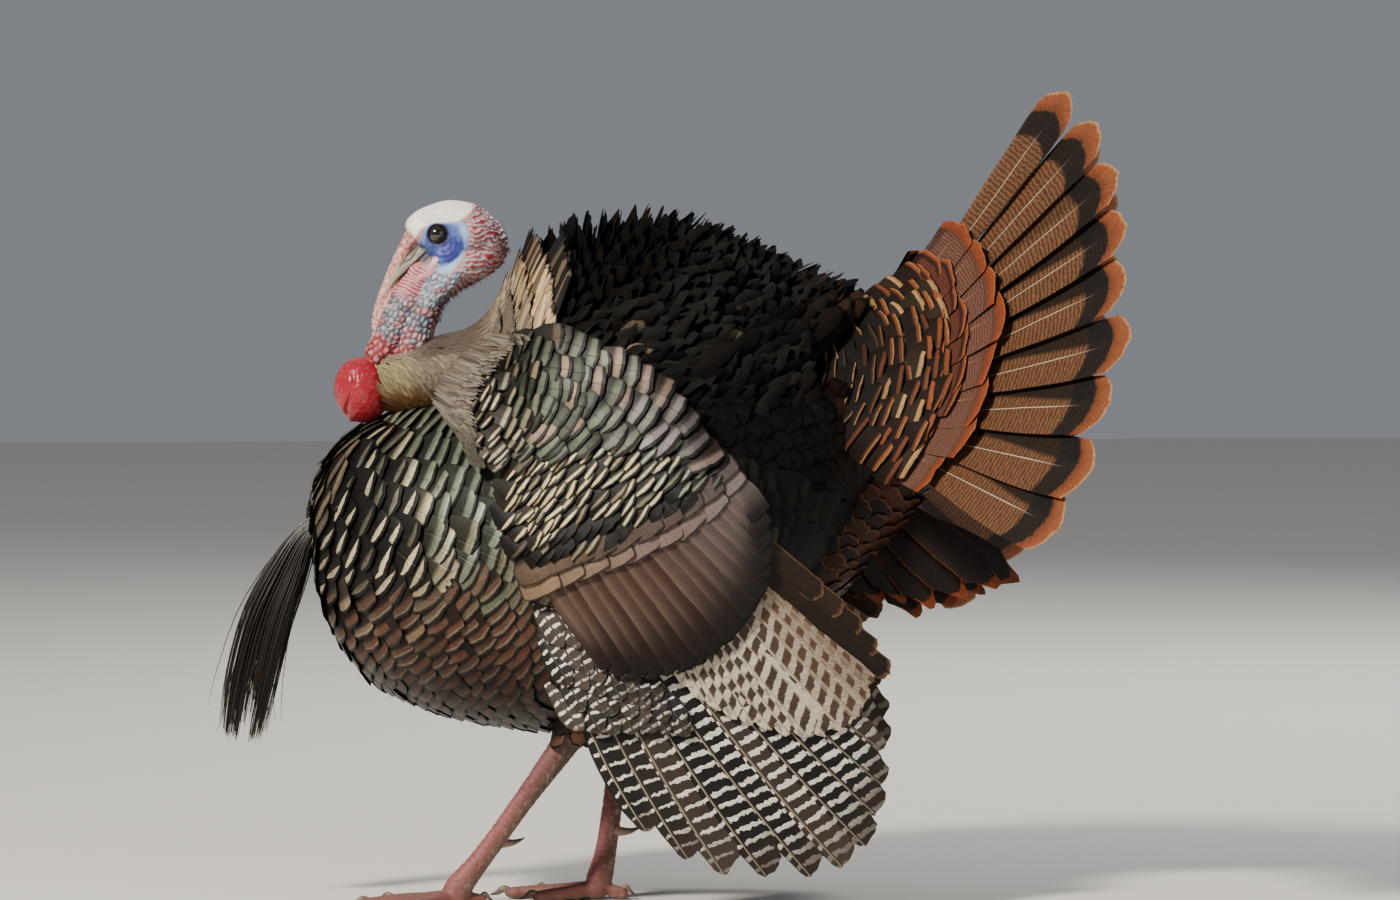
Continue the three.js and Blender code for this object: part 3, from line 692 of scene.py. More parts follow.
def trunkTract(rowStep, pitch, start, end, seed):
    # rows of places from the throat backwards, each row set between the places of the one before
    rng = np.random.default_rng(seed)
    parts = []
    distance, odd = start, 0.0
    while distance < end:
        row = trunkRow(distance, pitch(distance) if callable(pitch) else pitch, odd + rng.uniform(-0.08, 0.08))
        if row is not None:
            parts.append(row)
        distance += rowStep(distance) if callable(rowStep) else rowStep
        odd = 0.5 - odd if odd < 0.5 else 0.0
    return [np.concatenate(column) for column in zip(*parts)]


# the wings' faces

def wingFace(x, z):
    along = 205 - np.where(x < 10, 0.0011, 0.0006) * (x - 10) ** 2
    middle = widestLine(x)
    reach = np.maximum(backLine(x) - middle, 250) + 12
    overShoulder = np.sqrt(1 - np.clip((z - middle) / reach, 0, 0.95) ** 2)
    return along * overShoulder + 0.07 * np.maximum(0, 300 - z)


wingSwing = {left: 0.0, right: 5.0}  # degrees that each wing hangs back
shoulderPoint = np.array((-158.0, 500.0))


def swung(spot, side):
    turn = math.radians(wingSwing[side])
    if not turn:
        return spot
    away = spot - shoulderPoint
    return (shoulderPoint + vec(away[..., 0] * math.cos(turn) - away[..., 1] * math.sin(turn),
                                away[..., 0] * math.sin(turn) + away[..., 1] * math.cos(turn)))


def onWing(side):
    def place(spot, height):
        at = swung(spot, side)
        x, z = at[..., 0], np.maximum(at[..., 1], 1.5)
        return vec(x, side * (wingFace(x, z) + height), z)
    return place


def wingFrame(spot, direction, height, side):
    # anchors, lies and outward ways for small feathers on a wing
    place = onWing(side)
    step = 2.0
    here = place(spot, height)
    ahead = unit(place(spot + direction * step, height) - here)
    across = place(spot + vec(-direction[..., 1], direction[..., 0]) * step, height) - here
    out = unit(np.cross(ahead, across))
    out *= np.sign(out[..., 1:2]) * side
    return here, ahead, out


wingCover = [(-128, 470), (-100, 520), (-60, 540), (0, 536), (60, 505), (104, 470), (125, 425), (148, 350),
             (246, 300), (262, 250), (270, 190), (250, 90), (160, 55), (66, 60), (-4, 120), (-26, 200),
             (-44, 290), (-90, 400)]


# body feathers

body = {
    "rowStep": 12.5, "pitch": 31.0, "length": 62.0, "width": 37.0,
    "shape": {"held": 0.86, "slope": 0.16, "cup": 0.13, "corner": 0.1, "tipRound": 0.085, "bend": 1 / 210,
              "roll": 5, "jitter": 4, "thick": 0.6},
}
cream, greyGreen, paleGreen = tint("#cdbd97"), tint("#565d4e"), tint("#717a69")
nearBlack, brownBlack = tint("#0d0b09"), tint("#1d1613")
sides = ((left, "left"), (right, "right"))


def breastLie(spot, out, meridian):
    # the breast's feathers part at the front, then fall steeply below and run back beside the wing
    x, z = spot[:, 0], spot[:, 2]
    ahead = x + 240
    below = 475 - z
    down = 0.5 + 1.5 * ease(120, 190, below)
    back = 1 + 2.0 * ease(112, 175, ahead) + 0.8 * ease(0, -60, below)
    wish = vec(back, 0 * back, -down)
    wish = flattened(wish, out)
    share = ease(60, -20, x) * ease(480, 440, z) * ease(0.15, 0.5, np.abs(out[:, 1]))
    return unit(lerp(meridian, wish, (0.85 * share)[:, None]))


def farLobe(spot):
    # the far half of the breast shows past the near one as a plain band
    x, z = spot[:, 0], spot[:, 2]
    return ease(4, -3, x + 245 + 0.36 * (479 - z)) * ease(372, 388, z)


def breastPaint(spot, rng):
    x, z = spot[:, 0], spot[:, 2]
    count = len(x)
    drift = rng.normal(0, 14, count)
    dark = ease(-150, -215, x + 0.35 * (z - 400) + drift) * ease(290, 340, z + drift)
    low = ease(350, 285, z + 0.28 * (x + 120) + drift)
    plume = mixTint(greyGreen, paleGreen, rng.random(count))
    plume = mixTint(plume, "#544f3b", ease(400, 320, z + drift) * 0.8)
    warm = mixTint("#4a3328", "#62392b", rng.random(count))
    plume = mixTint(plume, warm, low * 0.92)
    # in the dark front most feathers carry a cream painted glint; those with a weak one are darkened further
    bright = np.where(rng.random(count) < 0.3, rng.uniform(0.1, 0.35, count), rng.uniform(0.55, 1.0, count))
    plume = mixTint(plume, cream, dark * bright)
    plume = mixTint(plume, brownBlack, dark * (bright < 0.4) * 0.7)
    lead = mixTint(plume, paleGreen, 0.12 * low + 0.15)
    # the far side of the breast is a plain dull bronze
    farSide = ease(0, 26, spot[:, 1]) * ease(-170, -220, x)
    farSide = np.maximum(farSide, farLobe(spot))
    plume = mixTint(plume, "#6c5f4b", 0.9 * farSide)
    lead = mixTint(lead, "#5c513f", 0.9 * farSide)
    shade = ease(285, 195, z) * 0.75
    plume = mixTint(plume, brownBlack, shade)
    lead = mixTint(lead, brownBlack, shade)
    rim = 0.04 + 0.02 * dark + rng.uniform(0, 0.015, count)
    return plume, lead, rim


def flankShare(spot):
    # the dark rear of the flank, which comes further forward high up
    x, z = spot[:, 0], spot[:, 2]
    return np.maximum(ease(110, 180, x), ease(60, 110, x) * ease(330, 380, z))


def layBreast():
    rng = np.random.default_rng(11)
    spot, out, meridian, turn = trunkTract(
        lambda d: lerp(16.0, body["rowStep"], float(ease(210, 300, np.array(d)))),
        lambda d: lerp(38.0, body["pitch"], float(ease(210, 300, np.array(d)))), start=26, end=720, seed=3)
    lie = breastLie(spot, out, meridian)
    x, y, z = spot.T
    backShare = (np.cos(turn) > 0.28) & (x > -105)
    underWing = inside(wingCover, x, z) & (np.abs(out[:, 1]) > 0.42)
    neck = (x > -235) & (z > 486 + 0.25 * (x + 235)) & (np.cos(turn) > -0.2) & (np.abs(y) < 84) & (x < -60)
    rear = x > 262
    kept = ~(backShare | underWing | neck | rear)
    kept &= (z < 560) | (x < -40)
    spot, out, lie = pickRows(kept, spot, out, lie)
    plume, lead, rim = breastPaint(spot, rng)
    count = len(spot)
    rearShare = flankShare(spot)
    plume = mixTint(plume, nearBlack, 0.96 * rearShare)
    lead = mixTint(lead, nearBlack, 0.96 * rearShare)
    frontDark = ease(-165, -205, spot[:, 0] + 0.3 * (spot[:, 2] - 400)) * ease(285, 335, spot[:, 2])
    frontDark = frontDark * ease(40, 0, spot[:, 1]) * (1 - farLobe(spot))
    width = body["width"] * rng.uniform(0.88, 1.14, count) * lerp(1.24, 1.14, frontDark)
    length = body["length"] * rng.uniform(0.95, 1.08, count)
    vane = bodyVanes(spot, lie, out, length, width, body["shape"], rng)
    edge = mixTint(nearBlack, "#4a4134", farLobe(spot))
    # in the dark front only a lit sliver near each tip shows, a painted highlight with painted shade round it
    sliver = ease(0.3, 0.8, frontDark + rng.normal(0, 0.08, count))
    return painted(vane, plume, lead, edge, rim, sliver=sliver, close=1 - ease(0.1, 0.6, frontDark)), spot


breastVanes, breastSpots = layBreast()
breastFinish = plumeFinish("shining breast feather", {"metal": 0.42, "specular": 0.24, "glossy": 0.34,
        "dull": 0.54, "line": None, "rootShadeEnd": 0.84, "rootShadeSoft": 0.1, "rootShadeShare": 0.88})
isBreast = breastSpots[:, 0] < -52
print("breast feathers:", int(isBreast.sum()), "belly feathers:", int((~isBreast).sum()))
isFlank = flankShare(breastSpots) > 0.45
flankFinish = plumeFinish("dark flank feather", {"metal": 0.03, "specular": 0.08, "rootShadeEnd": 0.84, "rootShadeSoft": 0.1})
for pieceName, chosen, finish, slotName in (
        ("breastFeathers", isBreast, breastFinish, "breast_feathers"),
        ("bellyFeathers", ~isBreast & ~isFlank, breastFinish, "belly_feathers"),
        ("flankFeathers", isFlank, flankFinish, "belly_feathers")):
    makeFeathers(pieceName, pickVanes(breastVanes, chosen), finish)


# tail

tail = {
    "root": np.array((240.0, 0.0, 483.0)), "feather": 390.0, "pitch": 57.5, "aSide": 9,
    "spread": {left: 92.0, right: 110.0}, "open": {left: 0.84, right: 0.73}, "sweep": {left: 0.0, right: 35.0},
}


def fanPlace(side):
    # carries (along the middle pair, along the fan's side) and a height onto one half of the fan
    pitch = math.radians(tail["pitch"])
    middle = np.array((math.cos(pitch), 0, math.sin(pitch)))
    openness = tail["open"][side]
    lean = math.sqrt(1 - openness ** 2)
    aside = np.array((lean * math.sin(pitch), side * openness, -lean * math.cos(pitch)))
    facing = unit(np.cross(aside, middle) * -side)
    spread = math.radians(tail["spread"][side])

    def place(spot, height):
        radius = np.linalg.norm(spot, axis=-1)
        turn = np.arctan2(spot[..., 1], spot[..., 0])
        bend = tail["sweep"][side] * np.clip(turn / spread, 0, 1) ** 2 * (radius / tail["feather"]) ** 2
        at = tail["root"] + spot[..., :1] * middle + spot[..., 1:] * aside + (height - bend)[..., None] * facing
        at[..., 1] = side * np.maximum(side * at[..., 1], 0.6)
        return at

    return place


def fanShorter(side, turn):
    near = 1.018 - 0.034 * float(ease(8, 48, np.array(turn)))
    return near if side == left else near - 0.14 * (turn / tail["spread"][right]) ** 4


def fanVanes(side, reach, start, feathers, shape, rng, wide, first=0.5, sideShare=None):
    spread = tail["spread"][side]
    turns = (np.arange(feathers) + first) * spread / feathers
    turns = turns + rng.normal(0, shape.get("turnJitter", 0.4), feathers)
    if sideShare is None:
        far = np.array([reach * fanShorter(side, t) for t in turns])
    else:
        far = reach * (1 - (1 - sideShare) * (turns / spread) ** 4)
    far = far * (1 + rng.normal(0, shape.get("reachJitter", 0.008), feathers))
    way = heading(turns)
    # the side vector points away from the middle pair, so the far edge is the trailing one
    vane = planeVanes(way * start, way * far[:, None], shape, fanPlace(side), rng, wide / 2, wide / 2)
    return vane, turns


def mottled(finish, along, across, seed, step, wander):
    # wavy cross bars with a broken edge
    spot = finish.vector(along * 100.0, across * 100.0, seed * 53.0)
    drift = (finish.noise(spot, 0.16, 3.0) - 0.5) * wander
    fine = (finish.noise(spot, 0.9, 2.0) - 0.5) * (wander * 0.5)
    phase = along * (100.0 / step) + drift + fine
    wave = finish.math("SINE", phase * fullTurn)
    return finish.between(wave, -0.55, 0.75), spot


tailDials = {  # the same for tail feathers
    "wander": 1.4, "barbs": 150.0, "barShare": 0.8, "shadeEnd": 0.34, "shade": 0.9, "bandShare": 0.93,
    "shaft": 0.9, "metal": 0.08,
}


def tailFinish(name, dials):
    # a mottled vane, a black bar and a rusty end, all by share of the feather's length
    dials = dict(tailDials, **dials)
    finish = Finish(name, specular=0.22)
    u, v = finish.uv("Vane")
    across, along = finish.uv("Marks")
    seed = finish.dial("seed")
    bars, spot = mottled(finish, along, across, seed, dials["barStep"], dials["wander"])
    streak, side = barbs(finish, u, v, seed, 0.25, dials["barbs"], 5.0)
    light = finish.mix(finish.between(streak, 0.3, 0.7), dials["light"], dials["warm"])
    vane = finish.mix(bars * dials["barShare"], light, dials["dark"])
    # the shaded edge of each feather widens into a wedge towards the black bar
    shadeEnd = finish.between(v, 0.4, 0.86, dials["shadeEnd"] - 0.16, dials["shadeEnd"] + 0.08)
    shade = finish.between(u - shadeEnd, 0.0, -0.1)
    shade = shade * (1.0 - finish.dial("lit"))
    vane = finish.mix(shade * dials["shade"], vane, "#120c08")
    wander = (streak - 0.5) * 0.02
    place = v + wander
    band = (finish.between(place, dials["bandStart"] - 0.008, dials["bandStart"]
                           + 0.008) * finish.between(place, dials["bandEnd"] + 0.006, dials["bandEnd"] - 0.006))
    vane = finish.mix(band * dials["bandShare"], vane, dials["band"])
    end = finish.between(place, dials["bandEnd"] - 0.006, dials["bandEnd"] + 0.012)
    speck = finish.noise(spot, 0.7, 2.0)
    inner = finish.between(place, dials["bandEnd"], lerp(dials["bandEnd"], 1.0, 0.7), 1.0, 0.0)
    specked = finish.math("MAXIMUM", finish.between(speck, 0.5, 0.72), inner * 0.8)
    rusty = finish.mix(specked, dials["tip"], dials["tipSpeck"])
    rusty = finish.mix(finish.between(place, dials["paleStart"], 1.0), rusty, dials["tipPale"])
    vane = finish.mix(end, vane, rusty)
    shaft = finish.between(side, 0.012, 0.005) * finish.between(v, 0.9, 0.72)
    vane = finish.mix(shaft * dials["shaft"], vane, dials["quill"])
    grain = finish.between(streak, 0.2, 0.8, 0.8, 1.18)
    vane = finish.grained(vane, grain)
    finish.bump(streak + shaft * 1.5, 0.5, 0.0007)
    return finish.done(vane, finish.between(streak, 0.2, 0.8, 0.45, 0.62), dials["metal"])


rectrix = {
    "wide": 66.0, "start": 40.0,
    "shape": {"grow": lambda s: 0.16 + 0.84 * ease(0.0, 0.92, s) ** 0.9, "tipRound": 0.62, "stack": 0.0,
              "tilt": 3.4, "lift": 4.5, "cup": -1.2, "ripple": 0.8, "thick": 0.9, "quill": 1.4,
              "leading": 1, "trailing": 1, "ragged": 0.0035,
              "columns": (-1, -0.85, -0.55, -0.2, -0.05, 0.05, 0.2, 0.55, 0.85, 1),
              "rows": np.r_[np.linspace(0, 0.8, 12), 0.86, 0.91, 0.95, 0.975, 0.99, 1.0]},
    "marks": {"barStep": 5.2, "light": "#725034", "warm": "#5e3c27", "dark": "#342013", "band": "#0f0d0c",
              "bandStart": 0.84, "bandEnd": 0.932, "tip": "#80472a", "tipSpeck": "#5a2f18", "tipPale": "#a67a50",
              "paleStart": 0.985, "quill": "#cfbfa9", "shaft": 0.75, "shadeEnd": 0.36, "shade": 0.92},
}
covert = {
    "wide": 62.0,
    "shape": {"grow": lambda s: 0.3 + 0.7 * ease(0.0, 0.75, s), "tipRound": 0.34, "tilt": 2.6, "lift": 18.0,
              "cup": 1.6, "ripple": 0.8, "thick": 0.7, "quill": 0.8, "leading": 1, "trailing": 1, "ragged": 0.008,
              "columns": (-1, -0.85, -0.5, -0.1, 0.1, 0.5, 0.85, 1),
              "rows": (0, 0.3, 0.5, 0.65, 0.78, 0.88, 0.94, 0.98, 1.0)},
    "marks": {"barStep": 3.4, "light": "#6f4c3e", "warm": "#603e32", "dark": "#321c15", "band": "#361b12",
              "bandStart": 0.905, "bandEnd": 0.93, "bandShare": 0.35, "tip": "#7c3a1e", "tipSpeck": "#5c2a16",
              "tipPale": "#955630", "paleStart": 0.985, "quill": "#b8967c", "shaft": 0.5, "shadeEnd": 0.2,
              "shade": 0.6, "barShare": 0.7},
    "innerMarks": {"barStep": 3.4, "light": "#5f3526", "warm": "#51281b", "dark": "#2b1610", "band": "#1d100c",
                   "bandStart": 0.93, "bandEnd": 0.965, "bandShare": 0.8, "tip": "#7d4327", "tipSpeck": "#5c2c18",
                   "tipPale": "#9a6038", "paleStart": 0.99, "quill": "#8d6a54", "shaft": 0.3, "shadeEnd": 0.24,
                   "shade": 0.8, "barShare": 0.6},
}
coverRows = [  # tip distance from the tail's root, feathers a side, height over the row below
    (230.0, 8, 0.0), (190.0, 9, 4.0), (168.0, 10, 8.0)]

rectrixFinish = tailFinish("barred tail feather", rectrix["marks"])
covertFinish = tailFinish("rusty tail covert", covert["marks"])
innerFinish = tailFinish("chestnut tail covert", covert["innerMarks"])
for side, sideName in sides:
    rng = np.random.default_rng(40 + side)
    vane, turns = fanVanes(side, tail["feather"], rectrix["start"], tail["aSide"], rectrix["shape"], rng,
                           rectrix["wide"])
    vane["dials"]["lit"] = ease(38, 16, turns)  # the top feathers have no dark wedge
    makeFeathers("tailFeathers." + sideName, vane, rectrixFinish, ("tail_" + sideName,))
    rows = []
    for k, (reach, feathers, above) in enumerate(coverRows):
        shape = dict(covert["shape"], lift=covert["shape"]["lift"] + above, turnJitter=1.2, reachJitter=0.02)
        row, _ = fanVanes(side, reach, 60.0, feathers, shape, rng, covert["wide"] * (1 - 0.07 * k),
                          first=0.5 if k % 2 == 0 else 0.12, sideShare=0.84)
        rows.append(row)
    makeFeathers("tailCoverts." + sideName, rows[0], covertFinish, ("tail_coverts_" + sideName,))
    makeFeathers("innerTailCoverts." + sideName, joinVanes(*rows[1:]), innerFinish)
print("tail laid")


# the ringed feathers between the back and the tail

ringed = {
    "from": 166.0, "to": 50.0, "step": 8.6, "rise": 0.5, "pitch": 35.0,
    "shape": {"held": 0.9, "slope": 0.1, "cup": 0.22, "corner": 0.06, "tipRound": 0.06, "bend": 1 / 110,
              "roll": 3, "jitter": 4, "thick": 0.6, "rootWidth": 0.6},
}


def layRinged():
    rng = np.random.default_rng(23)
    spots, outs, lies, shares = [], [], [], []
    for side in (left, right):
        place = fanPlace(side)
        radius, odd = ringed["from"], 0.0
        while radius > ringed["to"]:
            height = 27 + ringed["rise"] * (ringed["from"] - radius)
            spread = math.radians(tail["spread"][side] + 8)
            count = max(4, int(spread * radius / ringed["pitch"]))
            turn = (np.arange(count) + odd + 0.15) / count * spread + rng.normal(0, 0.015, count)
            way = vec(np.cos(turn), np.sin(turn))
            far = radius * (1 + 0.012 * rng.normal(0, 1, count))[:, None]
            here = place(way * far, np.full(count, height))
            inner = place(way * (far - 10), np.full(count, height + 10 * ringed["rise"]))
            beside = place(way * far + vec(-way[:, 1], way[:, 0]) * 4, np.full(count, height))
            lie = unit(here - inner)
            out = unit(np.cross(lie, beside - here))
            out *= np.sign(np.sum(out * (place(way * far, np.full(count, height + 5.0)) - here), -1, keepdims=True))
            spots.append(here), outs.append(out), lies.append(lie)
            shares.append(np.full(count, (radius - ringed["to"]) / (ringed["from"] - ringed["to"])))
            radius -= ringed["step"] * rng.uniform(0.92, 1.08)
            odd = 0.5 - odd
    spot, out, lie, share = (np.concatenate(v) for v in (spots, outs, lies, shares))
    count = len(spot)
    plume = mixTint("#4a2719", "#7d4426", rng.random(count))
    glint = rng.random(count) < 0.14
    plume = mixTint(plume, "#c09a68", glint * 0.6)
    plume = mixTint(plume, "#0f0c0b", 1 - ease(0.3, 0.8, share + rng.normal(0, 0.07, count)))
    vane = bodyVanes(spot, lie, out, lerp(30, 42, share) * rng.uniform(0.95, 1.05, count),
                     ringed["pitch"] * 1.22 * rng.uniform(0.92, 1.08, count), ringed["shape"], rng)
    painted(vane, plume, plume * 0.8, nearBlack, 0.03)
    makeFeathers("ringedTailFeathers", vane, plumeFinish("ringed rump feather", {
        "metal": 0.0, "specular": 0.12, "glossy": 0.6, "dull": 0.8, "rootShadeEnd": 0.88, "rootShadeSoft": 0.05,
        "rootShadeShare": 0.95, "grain": 0.4, "shaft": 0.1, "line": "#8a623a"}))


layRinged()
print("ringed feathers laid")


# back, with the feathers raised in display

raised = {
    "rowStep": 15.0, "pitch": 15.0, "depth": 52.0, "length": 92.0, "width": 21.0,
    "shape": {"held": 1.0, "slope": 0.0, "cup": 0.2, "corner": 0.3, "tipRound": 0.14, "bend": 1 / 300,
              "roll": 0, "rollJitter": 16, "jitter": 6, "slopeJitter": 0.05, "thick": 0.7, "sway": 0.03,
              "rootWidth": 0.5, "ragged": 0.02},
}


def onBack(x, z, turn):
    lowEdge = np.where(x < 110, 520 - 0.25 * (x + 60), 500)
    return (np.cos(turn) > 0.2) & (x > -98) & (z > lowEdge)


def layBack():
    rng = np.random.default_rng(31)
    spot, out, lie, turn = trunkTract(raised["rowStep"], raised["pitch"], start=150, end=720, seed=5)
    x, y, z = spot.T
    kept = onBack(x, z, turn) & (x < 262)
    kept &= ~((x > 215) & (z < 590))
    spot, out, lie = pickRows(kept, spot, out, lie)
    x, y, z = spot.T
    count = len(spot)
    crest = ease(560, 680, z)
    # near the ridge the feathers stand up, lower down they lie back
    stand = np.radians(lerp(20, 66, crest) + rng.normal(0, 5, count) - 10 * ease(160, 260, x))
    upright = unit(vec(0.12 + 0 * x, 0 * x, 1 + 0 * x))
    along = unit(lie + (0.6 + 1.1 * ease(40, 200, x))[:, None] * upright)
    along = flattened(along, out)
    raisedLie = along * np.cos(stand)[:, None] + out * np.sin(stand)[:, None]
    raisedOut = out * np.cos(stand)[:, None] - along * np.sin(stand)[:, None]
    tipAt = spot - out * rng.uniform(0, 7, count)[:, None]
    length = raised["length"] * rng.uniform(0.85, 1.1, count)
    vane = bodyVanes(tipAt, raisedLie, raisedOut, length, raised["width"] * rng.uniform(0.8, 1.15, count),
                     raised["shape"], rng)
    pick = rng.random(count)
    plume = mixTint("#060504", "#120f0d", pick)
    flash = (rng.random(count) < 0.03) * ease(620, 560, z)
    plume = mixTint(plume, "#8a7a66", 0.5 * flash)
    rearBrown = ease(190, 300, x)
    plume = mixTint(plume, "#3a2518", rearBrown * rng.random(count))
    painted(vane, plume, plume * 0.8, nearBlack, 0.06)
    makeFeathers("raisedBackFeathers", vane, plumeFinish("black back feather", {
        "metal": 0.0, "specular": 0.08, "glossy": 0.5, "dull": 0.75, "rootShadeEnd": 0.5}))
    return count


print("back feathers:", layBack())


# wings

wing = {
    "panel": {  # the bronze coverts that close over the folded wing
        "shape": {"grow": lambda s: 0.75 + 0.25 * ease(0, 0.5, s), "leading": 9.0, "trailing": 21.0,
                  "tipRound": 0.3, "stack": 0.34, "tilt": 0.5, "lift": 3.0, "cup": 1.3, "thick": 0.6, "slope": 1.5,
                  "quill": 0.5, "ripple": 0.3, "ragged": 0.006}},
    "secondary": {
        "shape": {"grow": lambda s: 0.7 + 0.3 * ease(0, 0.5, s), "leading": 8.0, "trailing": 30.0,
                  "tipRound": 0.45, "stack": 0.22, "tilt": 0.4, "lift": -4.5, "cup": 1.2, "thick": 0.6, "slope": 1.0,
                  "quill": 0.6, "ripple": 0.4, "ragged": 0.006}},
    "primary": {
        "shape": {"grow": lambda s: (0.5 + 0.5 * ease(0, 0.45, s)) * (1 - 0.42 * ease(0.72, 1.0, s) ** 1.6),
                  "leading": 9.0, "trailing": 42.0, "tipRound": 0.34, "stack": 0.5, "tilt": 0.8, "lift": -12.5,
                  "cup": 1.5, "thick": 0.8, "slope": 2.5, "quill": 1.6, "ripple": 0.5, "bow": -5.0,
                  "ragged": 0.004}},
}
panelRoots = [(-66, 334), (-40, 346), (-8, 358), (24, 372), (56, 390), (86, 410), (112, 432)]
panelTips = [(-4, 250), (20, 240), (54, 242), (92, 256), (122, 282), (144, 318), (148, 356), (140, 392)]
secondaryTips = [(48, 252), (70, 236), (92, 216), (115, 203), (140, 192), (168, 184), (194, 180), (218, 182),
                 (236, 191), (249, 207), (258, 230)]
primaryTips = [(34, 86), (71, 61), (110, 46), (152, 43), (192, 42), (226, 49), (249, 70), (262, 99), (268, 131),
               (267, 165), (256, 196)]
primaryRoots = [(-34, 216), (-18, 226), (0, 235), (18, 244), (36, 253), (56, 262), (76, 268), (98, 273), (120, 276),
                (142, 278), (160, 280)]


def evenly(stops, count):
    line = splinePoints(stops, 200)
    length = lengthsAlong(line)
    way = np.linspace(0, length[-1], count)
    return np.stack([np.interp(way, length, line[:, k]) for k in range(line.shape[1])], -1)


def bronzeFinish():
    finish = Finish("bronze wing panel", specular=0.3, sheen=0.03, sheenRough=0.4)
    u, v = finish.uv("Vane")
    seed = finish.dial("seed")
    streak, side = barbs(finish, u, v, seed, 0.3, 90.0, 5.0)
    warm = finish.mix(finish.between(seed, 0.1, 0.9), "#442e25", "#544037")
    # the rear feathers turn lilac-grey, a painted sheen
    colour = finish.mix(finish.dial("shade"), warm, "#5d5350")
    colour = finish.mix(finish.between(v, 0.3, 0.94) * 0.95, colour, "#17100d")
    colour = finish.mix(finish.between(v, 0.968, 0.988), colour, "#0f0c0a")
    groove = finish.between(u, 0.16, 0.02) * 0.75
    colour = finish.mix(groove, colour, "#2f211b")
    gleam = finish.between(u, 0.25, 0.42) * finish.between(u, 0.7, 0.45)
    gleam = gleam * finish.between(v, 0.85, 0.5)
    colour = finish.mix(gleam * 0.2, colour, "#8f7a6d")
    grain = finish.between(streak, 0.2, 0.8, 0.86, 1.14)
    colour = finish.grained(colour, grain)
    finish.bump(streak, 0.4, 0.0006)
    return finish.done(colour, finish.between(streak, 0.2, 0.8, 0.32, 0.46), 0.4)


def barredFinish(name="barred flight feather", period=14.5, shaftTint="#8f8472"):
    # black vanes with broken white bars and a pale shaft
    finish = Finish(name, specular=0.25)
    u, v = finish.uv("Vane")
    across, along = finish.uv("Marks")
    seed = finish.dial("seed")
    streak, side = barbs(finish, u, v, seed, 0.2, 160.0, 5.0)
    spot = finish.vector(along * 100.0, across * 100.0, seed * 61.0)
    drift = (finish.noise(spot, 0.11, 3.0, 0.7) - 0.5) * 0.75
    lean = abs(across) * 1.3
    phase = along * (100 / period) - lean + (drift + seed * 5.0)
    wave = finish.math("SINE", phase * fullTurn)
    dim = finish.dial("dim")
    bars = finish.between(wave - dim * 0.42, 0.28, 0.5)
    clear = finish.between(abs(u - 0.5), 0.03, 0.06)
    edge = finish.between(side + dim * 0.1, 0.49, 0.45)
    fade = finish.between(v, 0.98, 0.74, 0.15, 1.0)
    bars = bars * clear * (edge * fade)
    dark = finish.mix(finish.between(v, 0.8, 1.0), "#0f0c0a", "#2a1f18")
    dark = finish.mix(finish.between(streak, 0.3, 0.8, 0.0, 0.3), dark, "#2e2620")
    dark = finish.mix(finish.between(seed, 0.6, 0.75) * 0.45, dark, "#4c3f35")
    white = finish.mix(finish.between(streak, 0.3, 0.75), "#efe9dd", "#b0a497")
    colour = finish.mix(bars, dark, white)
    shaft = finish.between(side, 0.02, 0.01)
    colour = finish.mix(shaft * 0.85, colour, shaftTint)
    finish.bump(streak + shaft * 2.0, 0.4, 0.0008)
    return finish.done(colour, finish.between(streak, 0.2, 0.8, 0.42, 0.6), 0.0)


def lozengeFinish():
    # cream vanes with slanting rows of brown lozenges
    finish = Finish("cream secondary feather", specular=0.35, sheen=0.08, sheenRough=0.5)
    u, v = finish.uv("Vane")
    across, along = finish.uv("Marks")
    seed = finish.dial("seed")
    streak, side = barbs(finish, u, v, seed, 0.2, 150.0, 5.0)
    spot = finish.vector(along * 100.0, across * 100.0, seed * 61.0)
    drift = (finish.noise(spot, 0.14, 3.0, 0.7) - 0.5) * 0.5
    phase = along * (100 / 17.5) - across * -3.4 + (drift + finish.dial("shade"))
    wave = finish.math("SINE", phase * fullTurn)
    bars = finish.between(wave, -0.3, 0.02)
    wide = finish.between(u, 0.47, 0.53) * finish.between(u, 0.83, 0.77)
    narrow = finish.between(u, 0.1, 0.2) * finish.between(u, 0.45, 0.38)
    lozenge = bars * finish.math("MAXIMUM", wide, narrow * 0.5)
    pale = finish.mix(finish.between(streak, 0.3, 0.75), "#cdc2ad", "#a09078")
    brown = finish.mix(finish.between(streak, 0.3, 0.75), "#2c211a", "#4a382c")
    colour = finish.mix(lozenge, pale, brown)
    rusty = finish.dial("rust") * finish.between(streak, 0.2, 0.9, 0.4, 0.9)
    colour = finish.mix(rusty, colour, "#5c4029")
    colour = finish.mix(finish.between(side, 0.478, 0.498), colour, "#8d7b66")
    shaft = finish.between(side, 0.02, 0.01)
    colour = finish.mix(shaft * 0.6, colour, "#75634d")
    finish.bump(streak + shaft, 0.4, 0.0007)
    return finish.done(colour, finish.between(streak, 0.2, 0.8, 0.5, 0.65), 0.0)


